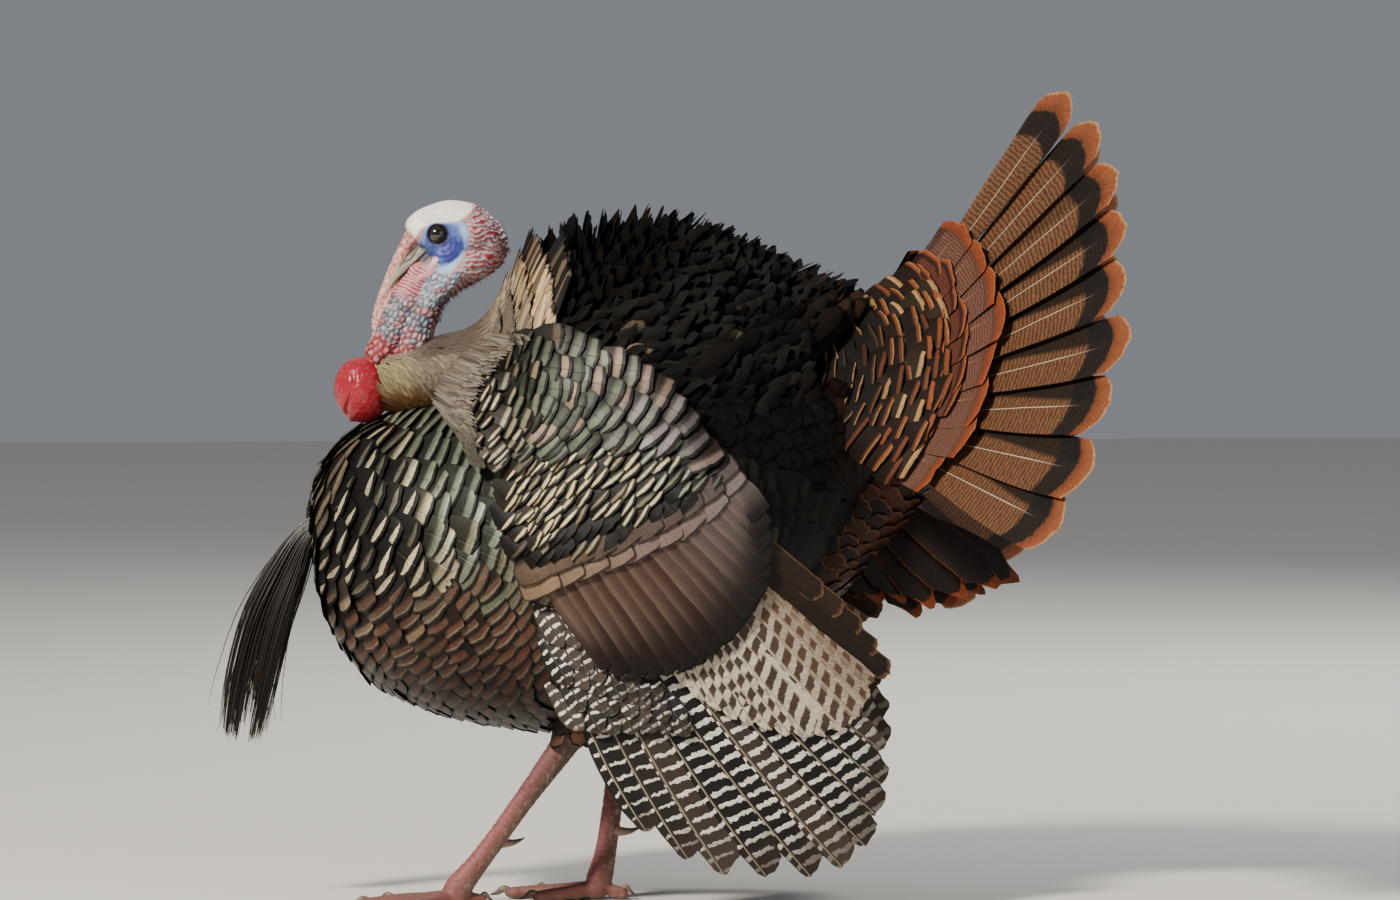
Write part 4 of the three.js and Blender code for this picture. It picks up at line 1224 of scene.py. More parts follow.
bronzePanel, barredVane, lozengeVane = bronzeFinish(), barredFinish(), lozengeFinish()
smallPlume = plumeFinish("wing plume", {"metal": 0.22, "rootShadeEnd": 0.5, "grain": 0.3})
scapularPlume = plumeFinish("scapular plume", {"metal": 0.25, "rootShadeEnd": 0.82, "rootShadeSoft": 0.1,
                                               "rootShadeShare": 0.9, "grain": 0.3, "litSliverHalf": 0.075})
lesserPlume = plumeFinish("lesser covert", {"metal": 0.15, "rootShadeEnd": 0.84, "rootShadeSoft": 0.06, "rootShadeShare": 0.95,
                                            "grain": 0.3, "litSliverHalf": 0.06})
barredCovert = barredFinish("primary covert", 10.5, "#4a4038")
fringePlume = plumeFinish("shoulder fringe", {"metal": 0.1, "rootShadeEnd": 0.25, "rootShadeShare": 0.1, "grain": 0.3,
                                              "shaft": 0.1, "sideStart": 0.42, "glossy": 0.45, "dull": 0.65})
edgePlume = plumeFinish("brown inner secondary", {"rootShadeEnd": 0.1, "rootShadeShare": 0.1, "grain": 0.35, "metal": 0.0})
neckPlumeShape = {"held": 0.55, "slope": 0.07, "cup": 0.3, "corner": 0.5, "tipRound": 0.12, "bend": 1 / 120, "roll": 2,
                  "jitter": 7, "thick": 0.45, "rootWidth": 0.5, "sway": 0.05, "above": 0.2,
                  "rows": (0, 0.4, 0.75, 1.0), "columns": (-1, -0.3, 0.3, 1)}


def layFlightFeathers(side, sideName):
    rng = np.random.default_rng(60 + side)
    place = onWing(side)
    # in the plane of the face the trailing side is the rear one on both wings
    tips, roots = np.array(primaryTips, float), np.array(primaryRoots, float)
    shape = wing["primary"]["shape"]
    ownTrailing = shape["trailing"] * (1 - 0.68 * ease(6.5, 10, np.arange(len(tips))))
    primaries = planeVanes(roots, tips + rng.normal(0, 1.2, tips.shape), shape, place, rng, trailing=ownTrailing)
    primaries["dials"]["dim"] = ease(5.5, 0, np.arange(float(len(tips))))
    makeFeathers("primaries." + sideName, primaries, barredVane,
                 (f"wing_{sideName}_primaries",))
    tips = evenly(secondaryTips, 15)
    lean = np.radians(np.linspace(64, 43, 15))
    roots = tips + vec(-np.cos(lean), np.sin(lean)) * np.linspace(165, 235, 15)[:, None]
    shape = wing["secondary"]["shape"]
    ownTrailing = shape["trailing"] * (1 - 0.72 * ease(9.5, 14, np.arange(15)))
    secondaries = planeVanes(roots, tips, shape, place, rng, trailing=ownTrailing)
    secondaries["dials"]["shade"] = np.arange(15) * 0.42 % 1.0
    secondaries["dials"]["rust"] = ease(9, 14, np.arange(15.0)) * 1.1
    makeFeathers("secondaries." + sideName, secondaries, lozengeVane,
                 (f"wing_{sideName}_secondaries",))
    roots = [(92, 412), (97, 400), (102, 388), (107, 376), (112, 364)]
    tips = [(206, 316), (226, 299), (245, 280), (261, 259), (274, 238)]
    inner = planeVanes(roots, tips, dict(shape, leading=10.0, trailing=13.0, lift=0.4, stack=-0.35,
                                         tipRound=0.6), place, rng)
    plume = mixTint("#1c140f", "#32251b", rng.random(5))
    painted(inner, plume, plume * 0.7, "#5d432d", 0.02)
    makeFeathers("innerSecondaries." + sideName, inner, edgePlume)
    roots, tips = evenly(panelRoots, 17), evenly(panelTips, 17)
    panel = planeVanes(roots, tips, wing["panel"]["shape"], place, rng)
    # how far each feather takes the lilac-grey painted sheen
    panel["dials"]["shade"] = ease(6, 15, np.arange(17.0)) * 0.85
    makeFeathers("bronzeCoverts." + sideName, panel, bronzePanel,
                 (f"wing_{sideName}_coverts",))


def plumes(spot, angle, height, side, length, width, shape, rng, plume, lead, rim, rimWide, **dials):
    here, ahead, out = wingFrame(spot, heading(angle), height, side)
    return painted(bodyVanes(here, ahead, out, length, width, shape, rng), plume, lead, rim, rimWide, **dials)


scaleShape = {"held": 0.85, "slope": 0.12, "cup": 0.12, "corner": 0.06, "tipRound": 0.04, "bend": 1 / 260,
              "roll": 4, "jitter": 4, "thick": 0.5}


scapularTract = {
    "outline": [(-154, 508), (-132, 545), (-104, 566), (-60, 574), (-4, 571), (10, 550), (52, 532), (84, 504),
                (106, 470), (116, 444), (100, 446), (62, 462), (0, 462), (-60, 452), (-104, 436), (-136, 462)],
    "step": 14.5, "pitch": 24.0, "length": 42.0, "width": 29.0,
}
lesserTract = {
    "outline": [(-112, 438), (-66, 459), (-16, 471), (38, 476), (72, 470), (104, 446), (104, 430), (62, 402),
                (-6, 368), (-74, 346), (-92, 358), (-110, 390)],
    # the outline inside which the feathers carry a painted glint
    "bright": [(-112, 438), (-66, 459), (-16, 471), (38, 476), (72, 470), (100, 446), (80, 428), (36, 402), (-6, 391),
               (-46, 390), (-78, 364), (-108, 388)],
    "step": 8.6, "across": 25.0, "angle": -41.0, "length": 29.0, "width": 30.0,
}


def scapularSpots(rng):
    # rows fan up from the low front, each feather square to its row
    tract = scapularTract
    spots, angles = [], []
    low = through((-154, 470), (-136, 455), (-104, 436), (-60, 448), (0, 456), (62, 456), (132, 434))
    x0, odd = -240.0, 0.0
    while x0 < 140:
        height, x = 0.0, x0
        step = 7.0
        rear = float(ease(-190, 20, np.array(x0)))
        pitch = tract["pitch"] * lerp(0.85, 1.25, rear)
        start = pitch * odd
        travelled = -start
        while height < 170:
            slant = math.radians(lerp(52, 9, float(ease(0, 92, np.array(height)))))
            if travelled >= 0:
                base = float(low(np.array(x0 + 40.0)))
                spots.append((x + rng.normal(0, 1.8), base + height + rng.normal(0, 1.8)))
                angles.append(-math.degrees(slant))
                travelled -= pitch
            x += step * math.sin(slant)
            height += step * math.cos(slant)
            travelled += step
        x0 += lerp(7.5, 20.0, rear)
        odd = 0.5 - odd
    spots, angles = np.array(spots), np.array(angles)
    kept = inside(tract["outline"], spots[:, 0], spots[:, 1])
    return spots[kept], angles[kept]


def layScapulars(side, sideName, rng):
    spot, angle = scapularSpots(rng)
    x, z = spot.T
    count = len(spot)
    angle = angle - 8 * ease(20, 110, x)
    front = ease(-78, -118, x + rng.normal(0, 10, count))
    plume = mixTint(greyGreen, "#857b7c", ease(-20, 60, x + rng.normal(0, 25, count)))
    plume = mixTint(plume, "#8a6a58", (rng.random(count) < 0.25) * 0.6)
    # at the front the feathers turn cream, shown in a lit sliver as a painted highlight
    plume = mixTint(plume, cream, front * rng.uniform(0.5, 1, count))
    plume = plume * np.where(rng.random(count) < 0.22, 0.35, rng.uniform(0.65, 1.0, count))[:, None]
    rearSize = lerp(0.95, 1.25, ease(-130, 20, x))
    shadow = (ease(30, 100, x + rng.normal(0, 12, count)) * ease(455, 500, z)
              + 0.8 * ease(552, 572, z) * ease(-60, -20, x))
    plume = mixTint(plume, "#14110f", np.clip(shadow, 0, 0.9))
    shape = dict(scaleShape, slope=0.2 + 0.2 * ease(-100, -145, x), tipRound=0.06)
    scapulars = plumes(spot, angle, 13.0, side,
                       scapularTract["length"] * rearSize * rng.uniform(0.92, 1.1, count)
                       * (1 - 0.5 * ease(-85, -130, x)),
                       scapularTract["width"] * rearSize * rng.uniform(0.88, 1.14, count) * (1 - 0.3 * front),
                       shape, rng, plume, mixTint(plume, paleGreen, 0.2), nearBlack, 0.07 + 0.03 * front)
    # the lit sliver's painted highlight at the front; towards the rear the painted shade narrows
    scapulars["dials"]["sliver"] = 0.75 * front
    scapulars["dials"]["close"] = 0.55 * ease(-60, 10, x)
    scapulars["dials"]["neckish"] = ease(22, 8, x - shoulderEdge(z)) * 0.45
    makeFeathers("scapulars." + sideName, scapulars, scapularPlume,
                 (f"wing_{sideName}_shoulder",))


shoulderEdge = through((440, -128), (462, -138), (508, -154), (545, -132), (566, -104), (580, -80))  # x by height


def layFringe(side, sideName, rng):
    # fine plumes carry the neck over the shoulder's front edge
    heights = np.arange(450.0, 572.0 if side == left else 540.0, 2.9)
    band = lerp(0.3, 1.0, ease(462, 505, heights))
    spot = np.concatenate([vec(shoulderEdge(heights) + band * (4.2 * row - 9)
                               + rng.normal(0, 1.4, len(heights)),
                               heights + rng.uniform(-1.5, 1.5, len(heights))) for row in range(6)])
    count = len(spot)
    plume = mixTint("#5f554a", "#84796a", rng.random(count))
    plume = mixTint(plume, "#2f2823", (rng.random(count) < 0.2) * 0.6)
    plume = mixTint(plume, "#3b372d", ease(505, 462, spot[:, 1]) * 0.85)
    fringe = plumes(spot, -50 + 30 * ease(450, 550, spot[:, 1]), 14.2, side,
                    27 * lerp(0.6, 1.0, ease(455, 500, spot[:, 1])) * rng.uniform(0.85, 1.15, count),
                    4.0 * rng.uniform(0.75, 1.25, count), dict(neckPlumeShape, slope=0.14, jitter=5,
            slopeJitter=0.03), rng, plume, plume * 0.9, plume * 0.6, 0.04)
    makeFeathers("shoulderFringe." + sideName, fringe, fringePlume)


def layLesserCoverts(side, sideName, rng):
    # lit slivers in slanting rows, painted highlights on dark feathers, dark towards the panel
    tract = lesserTract
    way = heading(tract["angle"])
    across = np.array((-way[1], way[0]))
    spots = []
    for row in range(-26, 34):
        for k in range(-16, 17):
            spots.append(np.array((0.0, 420.0)) + way * tract["step"] * row
                         + across * tract["across"] * (k + 0.5 * (row % 2)))
    spot = np.array(spots)
    spot = spot[inside(tract["outline"], spot[:, 0], spot[:, 1])]
    extra = spot[spot[:, 0] < -62] + way * tract["step"] * 0.5 + across * tract["across"] * 0.25
    spot = np.concatenate((spot, extra)) + rng.normal(0, 1.5, (len(spot) + len(extra), 2))
    x, z = spot.T
    count = len(spot)
    # a cream to grey-green painted glint inside the outline, and a faint one on a few feathers outside it
    bright = inside(tract["bright"], x, z + rng.normal(0, 4, count)) * 1.0
    bright = np.maximum(bright, (rng.random(count) < 0.12) * 0.35)
    gold = mixTint("#d3be8e", "#8f9c86", ease(-10, 90, x + rng.normal(0, 20, count)))
    plume = mixTint("#12100e", gold, bright)
    plume = plume * np.where(rng.random(count) < 0.2, 0.3, rng.uniform(0.7, 1.12, count))[:, None]
    narrow = lerp(1.0, 0.72, ease(-50, -105, x))
    small = plumes(spot, np.full(count, tract["angle"]), 10.5, side,
                   tract["length"] * rng.uniform(0.92, 1.08, count),
                   tract["width"] * narrow * rng.uniform(0.9, 1.15, count),
                   dict(scaleShape, tipRound=0.06, jitter=6, sway=0.03, slope=0.26), rng, plume, plume * 0.9,
                   nearBlack, rng.uniform(0.05, 0.1, count))
    small["dials"]["sliver"] = rng.uniform(0.5, 1.0, count)
    makeFeathers("lesserCoverts." + sideName, small, lesserPlume)


def layMedianCoverts(side, sideName, rng):
    # one pale row over the panel's roots, and the covered row above it
    line = [(-72, 330), (-36, 346), (0, 358), (40, 374), (80, 396), (104, 414), (112, 428)]
    rows = []
    for row, (drop, share) in enumerate(((-3, 1.0), (12, 0.45))):
        count = 9 + row
        spot = evenly(line, count) + np.array((-0.45, 0.9)) * drop
        pale = mixTint("#7d6650", "#746667", np.linspace(0, 1, count))
        plume = mixTint("#14110f", pale, np.full(count, share))
        rows.append(plumes(spot + np.array((1, -2)), np.linspace(-66, -50, count), 9.5 + row, side,
                           40 * np.ones(count), 40 * rng.uniform(0.95, 1.1, count),
                           dict(scaleShape, corner=0.12), rng, plume, plume * 0.8, "#2e241d", 0.04))
    makeFeathers("medianCoverts." + sideName, joinVanes(*rows), smallPlume)


def layPrimaryCoverts(side, sideName, rng):
    # small barred feathers in five rows over the primaries' roots
    spots = []
    for row in range(5):
        start, end = np.array((-52 + 4 * row, 280 - 21 * row)), np.array((34 + 13 * row, 230 - 10.5 * row))
        count = 7
        t = (np.arange(count) + 0.5 * (row % 2)) / count
        spots.append(start + (end - start) * t[:, None] + rng.normal(0, 1.2, (count, 2)))
    spot = np.concatenate(spots)
    count = len(spot)
    plume = tint("#cfc8bc") * rng.uniform(0.25, 1.0, (count, 1))
    mottle = plumes(spot, np.full(count, -54.0), -2.0, side, 58 * rng.uniform(0.9, 1.15, count),
                    25 * rng.uniform(0.85, 1.2, count), dict(scaleShape, jitter=4, tipRound=0.16, corner=0.25),
                    rng, plume, plume, "#171310", rng.uniform(0.14, 0.2, count), dim=np.full(count, 0.6))
    makeFeathers("primaryCoverts." + sideName, mottle, barredCovert)


for side, sideName in sides:
    layFlightFeathers(side, sideName)
    rng = np.random.default_rng(70 + side)
    for layPart in (layScapulars, layFringe, layLesserCoverts, layMedianCoverts, layPrimaryCoverts):
        layPart(side, sideName, rng)
print("wings laid")


# skin: head, bare neck, snood and wattle are modelled finely, the trunk under the feathers more simply

def tubeShape(stops, sides=24, steps=40, up=(0, 0, 1.0)):
    # a closed oval tube; each stop is x, y, z, half height, half width
    line = splinePoints(stops, steps + 1)
    ahead = unit(np.gradient(line[:, :3], axis=0))
    side = unit(np.cross(np.asarray(up, float), ahead))
    top = np.cross(ahead, side)
    turn = np.arange(sides) / sides * 2 * math.pi
    ends = np.sqrt(np.clip(1 - np.abs(np.linspace(-1, 1, steps + 1)) ** 16, 0, 1)) * 0.5 + 0.5
    high, wide = line[:, 3] * ends, line[:, 4] * ends
    rings = (line[:, None, :3] + top[:, None] * (np.cos(turn)[None, :, None] * high[:, None, None])
             + side[:, None] * (np.sin(turn)[None, :, None] * wide[:, None, None]))
    return closeRings(rings)


def closeRings(rings):
    steps, sides, _ = rings.shape
    grid = np.arange(steps * sides).reshape(steps, sides)
    nextOne = np.roll(grid, -1, 1)
    quads = vec(grid[:-1], nextOne[:-1], nextOne[1:], grid[1:]).reshape(-1, 4)
    verts = np.concatenate((rings.reshape(-1, 3), rings[:1].mean(1), rings[-1:].mean(1)))
    caps = np.concatenate((vec(nextOne[0], grid[0], np.full(sides, len(verts) - 2)),
                           vec(grid[-1], nextOne[-1], np.full(sides, len(verts) - 1))))
    middle = verts.mean(0)
    a, b, c = (verts[quads[:, k]] for k in range(3))
    if np.sum(np.cross(b - a, c - a) * (a - middle)) < 0:
        quads, caps = quads[:, ::-1], caps[:, ::-1]
    return verts, quads, caps


def ballShape(centre, radii, turn=0.0, detail=24):
    # an egg, tipped about y by a turn in degrees
    f = np.linspace(0.001, math.pi - 0.001, detail)
    t = np.arange(detail * 2) / (detail * 2) * 2 * math.pi
    ff, tt = np.meshgrid(f, t, indexing="ij")
    rings = vec(np.cos(ff) * radii[0], np.sin(ff) * np.cos(tt) * radii[1], np.sin(ff) * np.sin(tt) * radii[2])
    a = math.radians(turn)
    spin = np.array(((math.cos(a), 0, math.sin(a)), (0, 1, 0), (-math.sin(a), 0, math.cos(a))))
    return closeRings(rings @ spin.T + np.asarray(centre, float))


def readOut(things, key, dtype=np.int32, wide=1):
    found = np.empty(len(things) * wide, dtype)
    things.foreach_get(key, found)
    return found


def readMesh(mesh):
    verts, normals = (readOut(mesh.vertices, "co", np.float32, 3),
                      readOut(mesh.vertex_normals, "vector", np.float32, 3))
    return verts.reshape(-1, 3).astype(float), normals.reshape(-1, 3).astype(float)


def fused(shapes, voxel, smoothing):
    # one closed mesh round all the shapes, with even small faces
    verts, faces = [], []
    for spots, quads, caps in shapes:
        faces += [tuple(face + len(verts)) for part in (quads, caps) for face in part]
        verts += [tuple(spot) for spot in spots]
    mesh = bpy.data.meshes.new("fused")
    mesh.from_pydata(verts, [], faces)
    made = placed("fused", mesh)
    remesh = made.modifiers.new("remesh", "REMESH")
    remesh.mode, remesh.voxel_size = "VOXEL", voxel
    smooth = made.modifiers.new("smooth", "SMOOTH")
    smooth.factor, smooth.iterations = 0.5, smoothing
    evaluated = made.evaluated_get(bpy.context.evaluated_depsgraph_get())
    result = bpy.data.meshes.new_from_object(evaluated)
    bpy.data.objects.remove(made)
    return result


def unwrapped(mesh, corner, size):
    # flattens the mesh's own surface into one part of the bake map, face by face group
    made = placed("unwrap", mesh)
    mesh.uv_layers.new(name="OFBake")
    bpy.context.view_layer.objects.active = made
    made.select_set(True)
    bpy.ops.object.mode_set(mode="EDIT")
    bpy.ops.mesh.select_all(action="SELECT")
    bpy.ops.uv.smart_project(angle_limit=math.radians(70), island_margin=0.001)
    bpy.ops.object.mode_set(mode="OBJECT")
    uv = readOut(mesh.uv_layers["OFBake"].data, "uv", np.float32, 2).reshape(-1, 2)
    uv = np.asarray(corner) + uv / max(uv.max(), 1e-6) * np.asarray(size)
    bpy.data.objects.remove(made)
    return uv


head = {
    "voxel": 1.38, "smoothing": 5,
    "skull": [(-187, 0, 664, 12, 12), (-180, 0, 669, 21, 17), (-168, 0, 671, 27, 20), (-152, 0, 670, 33, 22),
              (-132, 0, 664, 34, 24), (-116, 0, 656, 26, 20)],
    "nape": [(-150, 0, 664, 30, 19), (-128, 0, 667, 34, 25), (-117, 0, 655, 28, 25), (-128, 0, 641, 27, 20),
             (-148, 0, 627, 26, 17), (-166, 0, 609, 24, 14), (-177, 0, 590, 23, 16), (-186, 0, 567, 22, 20),
             (-190, 0, 545, 22, 20), (-176, 0, 532, 18, 18)],
    "throat": [(-182, 0, 628, 13, 13), (-192, 0, 606, 17, 17), (-203, 0, 582, 19, 19), (-213, 0, 560, 17, 19),
               (-224, 0, 540, 14, 18)],
    "snood": [(-172, 0, 685, 4, 7), (-182, 0, 677, 7, 8), (-191, 0, 662, 7, 7.5), (-203, 0, 638, 6.5, 7),
              (-215, 0, 610, 6, 6.5), (-222, 0, 584, 6, 6.5), (-224, 0, 566, 3.5, 4)],
    "wattle": ((-238, 0, 513), (27.5, 31, 33), -12),
    "eye": {"at": (-163.0, 12.6, 669.0), "radius": 10.5, "opening": 9.2},
    "ridgeCentre": (-162.0, 640.0), "ridgeStep": 5.3,
}


def zoneOf(x, z, outline, soft):
    # 1 inside an outline, easing to 0 over its border
    corners = np.array(outline + outline[:1], float)
    near = np.full(x.shape, 1e9)
    for a, b in zip(corners[:-1], corners[1:]):
        t = np.clip(((x - a[0]) * (b[0] - a[0]) + (z - a[1]) * (b[1] - a[1])) / max(np.sum((b - a) ** 2), 1e-09), 0, 1)
        near = np.minimum(near, np.hypot(x - a[0] - t * (b[0] - a[0]), z - a[1] - t * (b[1] - a[1])))
    signed = np.where(inside(outline, x, z), near, -near)
    return ease(-soft, soft, signed)


faceZones = {
    "cap": [(-198, 668), (-192, 684), (-178, 698), (-160, 708), (-141, 708), (-128, 700), (-129, 692), (-137, 685),
            (-146, 681.5), (-158, 680.5), (-170, 680), (-180, 674), (-186, 664), (-190, 655), (-196, 647), (-201, 650)],
    "blue": [(-182, 659), (-179, 668), (-170, 681), (-145, 682), (-138, 682), (-133, 670), (-134, 656), (-141, 643),
             (-151, 631), (-160, 630), (-166, 640), (-182, 648), (-187, 651)],
    "violet": [(-172, 659), (-166, 657), (-156, 662), (-147, 667), (-139, 662), (-142, 649), (-152, 640), (-160, 646),
               (-172, 650)],
    "nape": [(-139, 708), (-118, 706), (-84, 696), (-74, 660), (-88, 624), (-116, 600), (-158, 576), (-170, 588),
             (-160, 604), (-146, 622), (-139, 636), (-134, 652), (-131, 668), (-135, 682), (-129, 690), (-127, 699)],
    "cheek": [(-172, 640), (-160, 633), (-150, 629), (-139, 634), (-143, 622), (-158, 602), (-172, 594), (-182, 600)],
    "folds": [(-206, 640), (-182, 636), (-166, 634), (-172, 612), (-196, 602), (-212, 612)],
    "warts": [(-216, 612), (-190, 610), (-164, 606), (-156, 592), (-166, 574), (-180, 556), (-206, 558), (-224, 572)],
    "redWarts": [(-250, 588), (-214, 584), (-186, 574), (-172, 566), (-174, 540), (-214, 532), (-256, 548)],
}


def lumps(verts, weight, spacing, stretch, way, rng):
    # rounded lumps that fill an area: how high each point stands on its lump, and the lump's number
    pool = np.flatnonzero(weight > 0.02)
    way = unit(np.asarray(way, float))
    bent = (verts[pool] + spacing * 0.22 * np.stack([softNoise(verts[pool], spacing * 0.8, k)
                                                     for k in (41, 42, 43)], -1))
    flat = bent - way * ((bent @ way) * (1 - 1 / stretch))[:, None]
    picked = []
    for index in rng.permutation(len(pool))[:5000]:
        spot = flat[index]
        if not picked or np.min(np.sum((np.array(picked) - spot) ** 2, 1)) > (spacing * rng.uniform(0.62, 1.15)) ** 2:
            picked.append(spot)
    gap = np.linalg.norm(flat[:, None] - np.array(picked)[None], axis=2)
    near = np.partition(gap, 1, axis=1)[:, :2]
    height, owner = np.zeros(len(verts)), np.zeros(len(verts), int)
    crease = np.clip((near[:, 1] - near[:, 0]) / spacing, 0, 1)
    height[pool] = (np.sqrt(np.clip(crease / 0.62, 0, 1)) * np.clip(1.15 - 0.4 * (near[:, 0] / spacing) ** 2, 0, 1))
    owner[pool] = gap.argmin(1)
    return height, owner


def makeHeadSkin():
    eye = head["eye"]
    shapes = [tubeShape(head["skull"]), tubeShape(head["nape"], up=(0, 1.0, 0)), tubeShape(head["throat"]),
              tubeShape(head["snood"], 16), ballShape(*head["wattle"])]
    shapes.append(ballShape((-246, 0, 490), (9, 9, 9)))  # the wattle's low point
    for side in (left, right):
        shapes.append(ballShape((-152, side * 15, 650), (15, 8, 14)))  # cheek
        shapes.append(ballShape((-165, side * 6, 630), (18, 10, 14)))  # jaw
        shapes.append(ballShape((-180, side * 4, 632), (13, 8, 10)))  # chin
        shapes.append(ballShape((-166, side * 13, 683), (15, 7, 5), 12))  # brow
        shapes.append(tubeShape([(-165, side * 12, 644, 2.4, 2.2), (-167.5, side * 13, 635, 3.2, 2.6),
                                 (-174, side * 12.5, 628, 3.2, 2.6), (-184, side * 11, 623, 2.4, 2.2)], 12, 12,
                                (0, 1.0, 0)))
    mesh = fused(shapes, head["voxel"], head["smoothing"])
    verts, normals = readMesh(mesh)
    x, y, z = verts.T
    reach = np.abs(y)
    push = np.zeros(len(verts))

    # eyes: the skin dips under the ball and rises in a rim round it
    ring = np.hypot(x - eye["at"][0], z - eye["at"][2])
    ballFace = eye["at"][1] + np.sqrt(np.clip(eye["radius"] ** 2 - ring ** 2, 0, None))
    dip = ease(eye["opening"] + 2.2, eye["opening"] - 0.3, ring) * (reach > 6)
    sunk = np.where(ring < eye["opening"], np.minimum(reach, ballFace - 1.2),
                    np.minimum(reach, 18.6 + 0.5 * (ring - 9)))
    newReach = lerp(reach, sunk, dip)
    lidRise = 1.1 * np.exp(-((ring - 11.4) / 1.1) ** 2) * (reach > 8)
    verts[:, 1] = np.sign(y) * (newReach + lidRise)

    wavy = verts + 1.6 * np.stack([softNoise(verts, 9, seed) for seed in (2, 3, 4)], -1)
    side3 = ease(4, 9, reach)
    zones = {key: zoneOf(x, z, outline, 1.6) for key, outline in faceZones.items()}
    snoodLine = splinePoints(head["snood"], 60)[:, :3]
    toSnood = np.sqrt(((verts[:, None, :] - snoodLine[None]) ** 2).sum(-1))
    alongSnood = toSnood.argmin(1)
    onSnood = ease(10.5, 8.0, toSnood.min(1)) * ease(682, 676, z) * ease(-184, -189, x)
    toWattle = np.linalg.norm((verts - np.array(head["wattle"][0])) / np.array(head["wattle"][1]), axis=1)
    onWattle = ease(1.16, 1.06, toWattle) * ease(552, 540, z)
    onWattle = np.maximum(onWattle, ease(500, 490, z) * ease(-222, -230, x))

    # ridges on the nape, fanning from below the eye
    centre = head["ridgeCentre"]
    turn = np.degrees(np.arctan2(wavy[:, 2] - centre[1], wavy[:, 0] - centre[0]))
    far = np.hypot(wavy[:, 0] - centre[0], wavy[:, 2] - centre[1])
    wander = 3.2 * softNoise(verts, 7, 8) + 1.2 * softNoise(verts, 3, 9)
    phase = (turn * np.clip(far / 62, 0.62, 1.1) + wander) / head["ridgeStep"]
    ridge = np.sin(phase * 2 * math.pi) + 0.45 * softNoise(verts, 2.4, 10)
    nape = zones["nape"] * (1 - zones["blue"]) * (1 - zones["cap"])
    push += nape * 1.15 * np.clip(ridge, -0.7, 1)

    # folds under the bill
    foldWay = (0.46 * wavy[:, 0] + 0.89 * wavy[:, 2] + 2.2 * softNoise(verts, 8, 17)) / 3.7
    fold = np.sin(foldWay * 2 * math.pi)
    folds = zones["folds"] * (1 - onSnood) * side3
    push += folds * 0.55 * fold

    # lumps on the cheek and the throat
    rng = np.random.default_rng(5)
    wartZone = zones["warts"] * (1 - onSnood) * (1 - 0.7 * folds)
    redZone = zones["redWarts"] * (1 - onSnood) * (1 - onWattle)
    cheekZone = zones["cheek"] * (1 - zones["blue"]) * side3
    wart, owner = lumps(verts, wartZone, 5.6, 1.35, (-0.8, 0, -0.6), rng)
    redWart, redOwner = lumps(verts, redZone, 7.6, 1.2, (-0.6, 0, -0.8), rng)
    cheekWart, cheekOwner = lumps(verts, cheekZone, 3.6, 2.3, (-0.75, 0, -0.66), rng)
    push += (wart - 0.35) * 2.5 * wartZone + (redWart - 0.35) * 3.0 * redZone * (1 - wartZone)
    push += (cheekWart - 0.4) * 1.3 * cheekZone

    # wattle pebbles and its front fold, wrinkles on the snood, creases in the blue skin
    push += onWattle * (0.35 * softNoise(verts, 2.4, 12) + 0.7 * softNoise(verts, 9, 13))
    push += 0.6 * np.exp(-(np.hypot(x + 166, z - 640) / 3.0) ** 2) * side3
    push -= (onWattle * 2.6 * np.exp(-((wavy[:, 0] + 249 - 0.2 * (z - 520)) / 1.9) ** 2) * ease(540, 520, z) * side3)
    push += (onSnood * (0.28 * np.sin(alongSnood * 1.9 + 2 * softNoise(verts, 5, 14))
                        + 0.25 * softNoise(verts, 2.2, 15)))
    around = np.hypot(x + 158, z - 660)
    push += (zones["blue"] * side3 * (1 - dip) * 0.35 * np.sin(around / 3.4 * 2 * math.pi / 1.6
            + softNoise(verts, 6, 16)))
    verts = verts + normals * push[:, None]

    # colours
    grainy = softNoise(verts, 1.8, 20)
    broad = softNoise(verts, 8, 21)
    skin = np.broadcast_to(tint("#bb7a78"), (len(verts), 3)).copy()
    skin = washed(
        skin,
        ("#6f7780", 0.5 * ease(0.0, 0.6, broad)),
        ("#aca2a6", nape),
        ("#8c9096", nape * ease(0.1, 0.7, softNoise(verts, 5, 23)) * 0.7),
        ("#8d1a2b", nape * ease(0.1, 0.5, ridge + 0.2 * grainy)),
        ("#5c1a22", nape * ease(612, 596, z) * 0.6))
    dark = nape * ease(0.55, 0.75, softNoise(verts, 2.0, 24)) * ease(-0.2, -0.6, ridge)
    skin = washed(skin, ("#33202a", dark * 0.8))

    def blobs(base, zone, height, number, colours, crease, seed):
        # the creases between lumps are painted dark as shade
        base = washed(base, (crease, zone * 0.95))
        colours = np.array([tint(c) for c in colours])
        pick = np.random.default_rng(seed).integers(0, len(colours), number.max() + 1)
        share = (zone * ease(0.3, 0.75, height + 0.1 * grainy))[:, None]
        base = base * (1 - share) + colours[pick[number]] * share
        # a painted highlight on each lump's top
        return washed(base, ("#e6dcd6", zone * ease(0.8, 1.0, height) * 0.25))

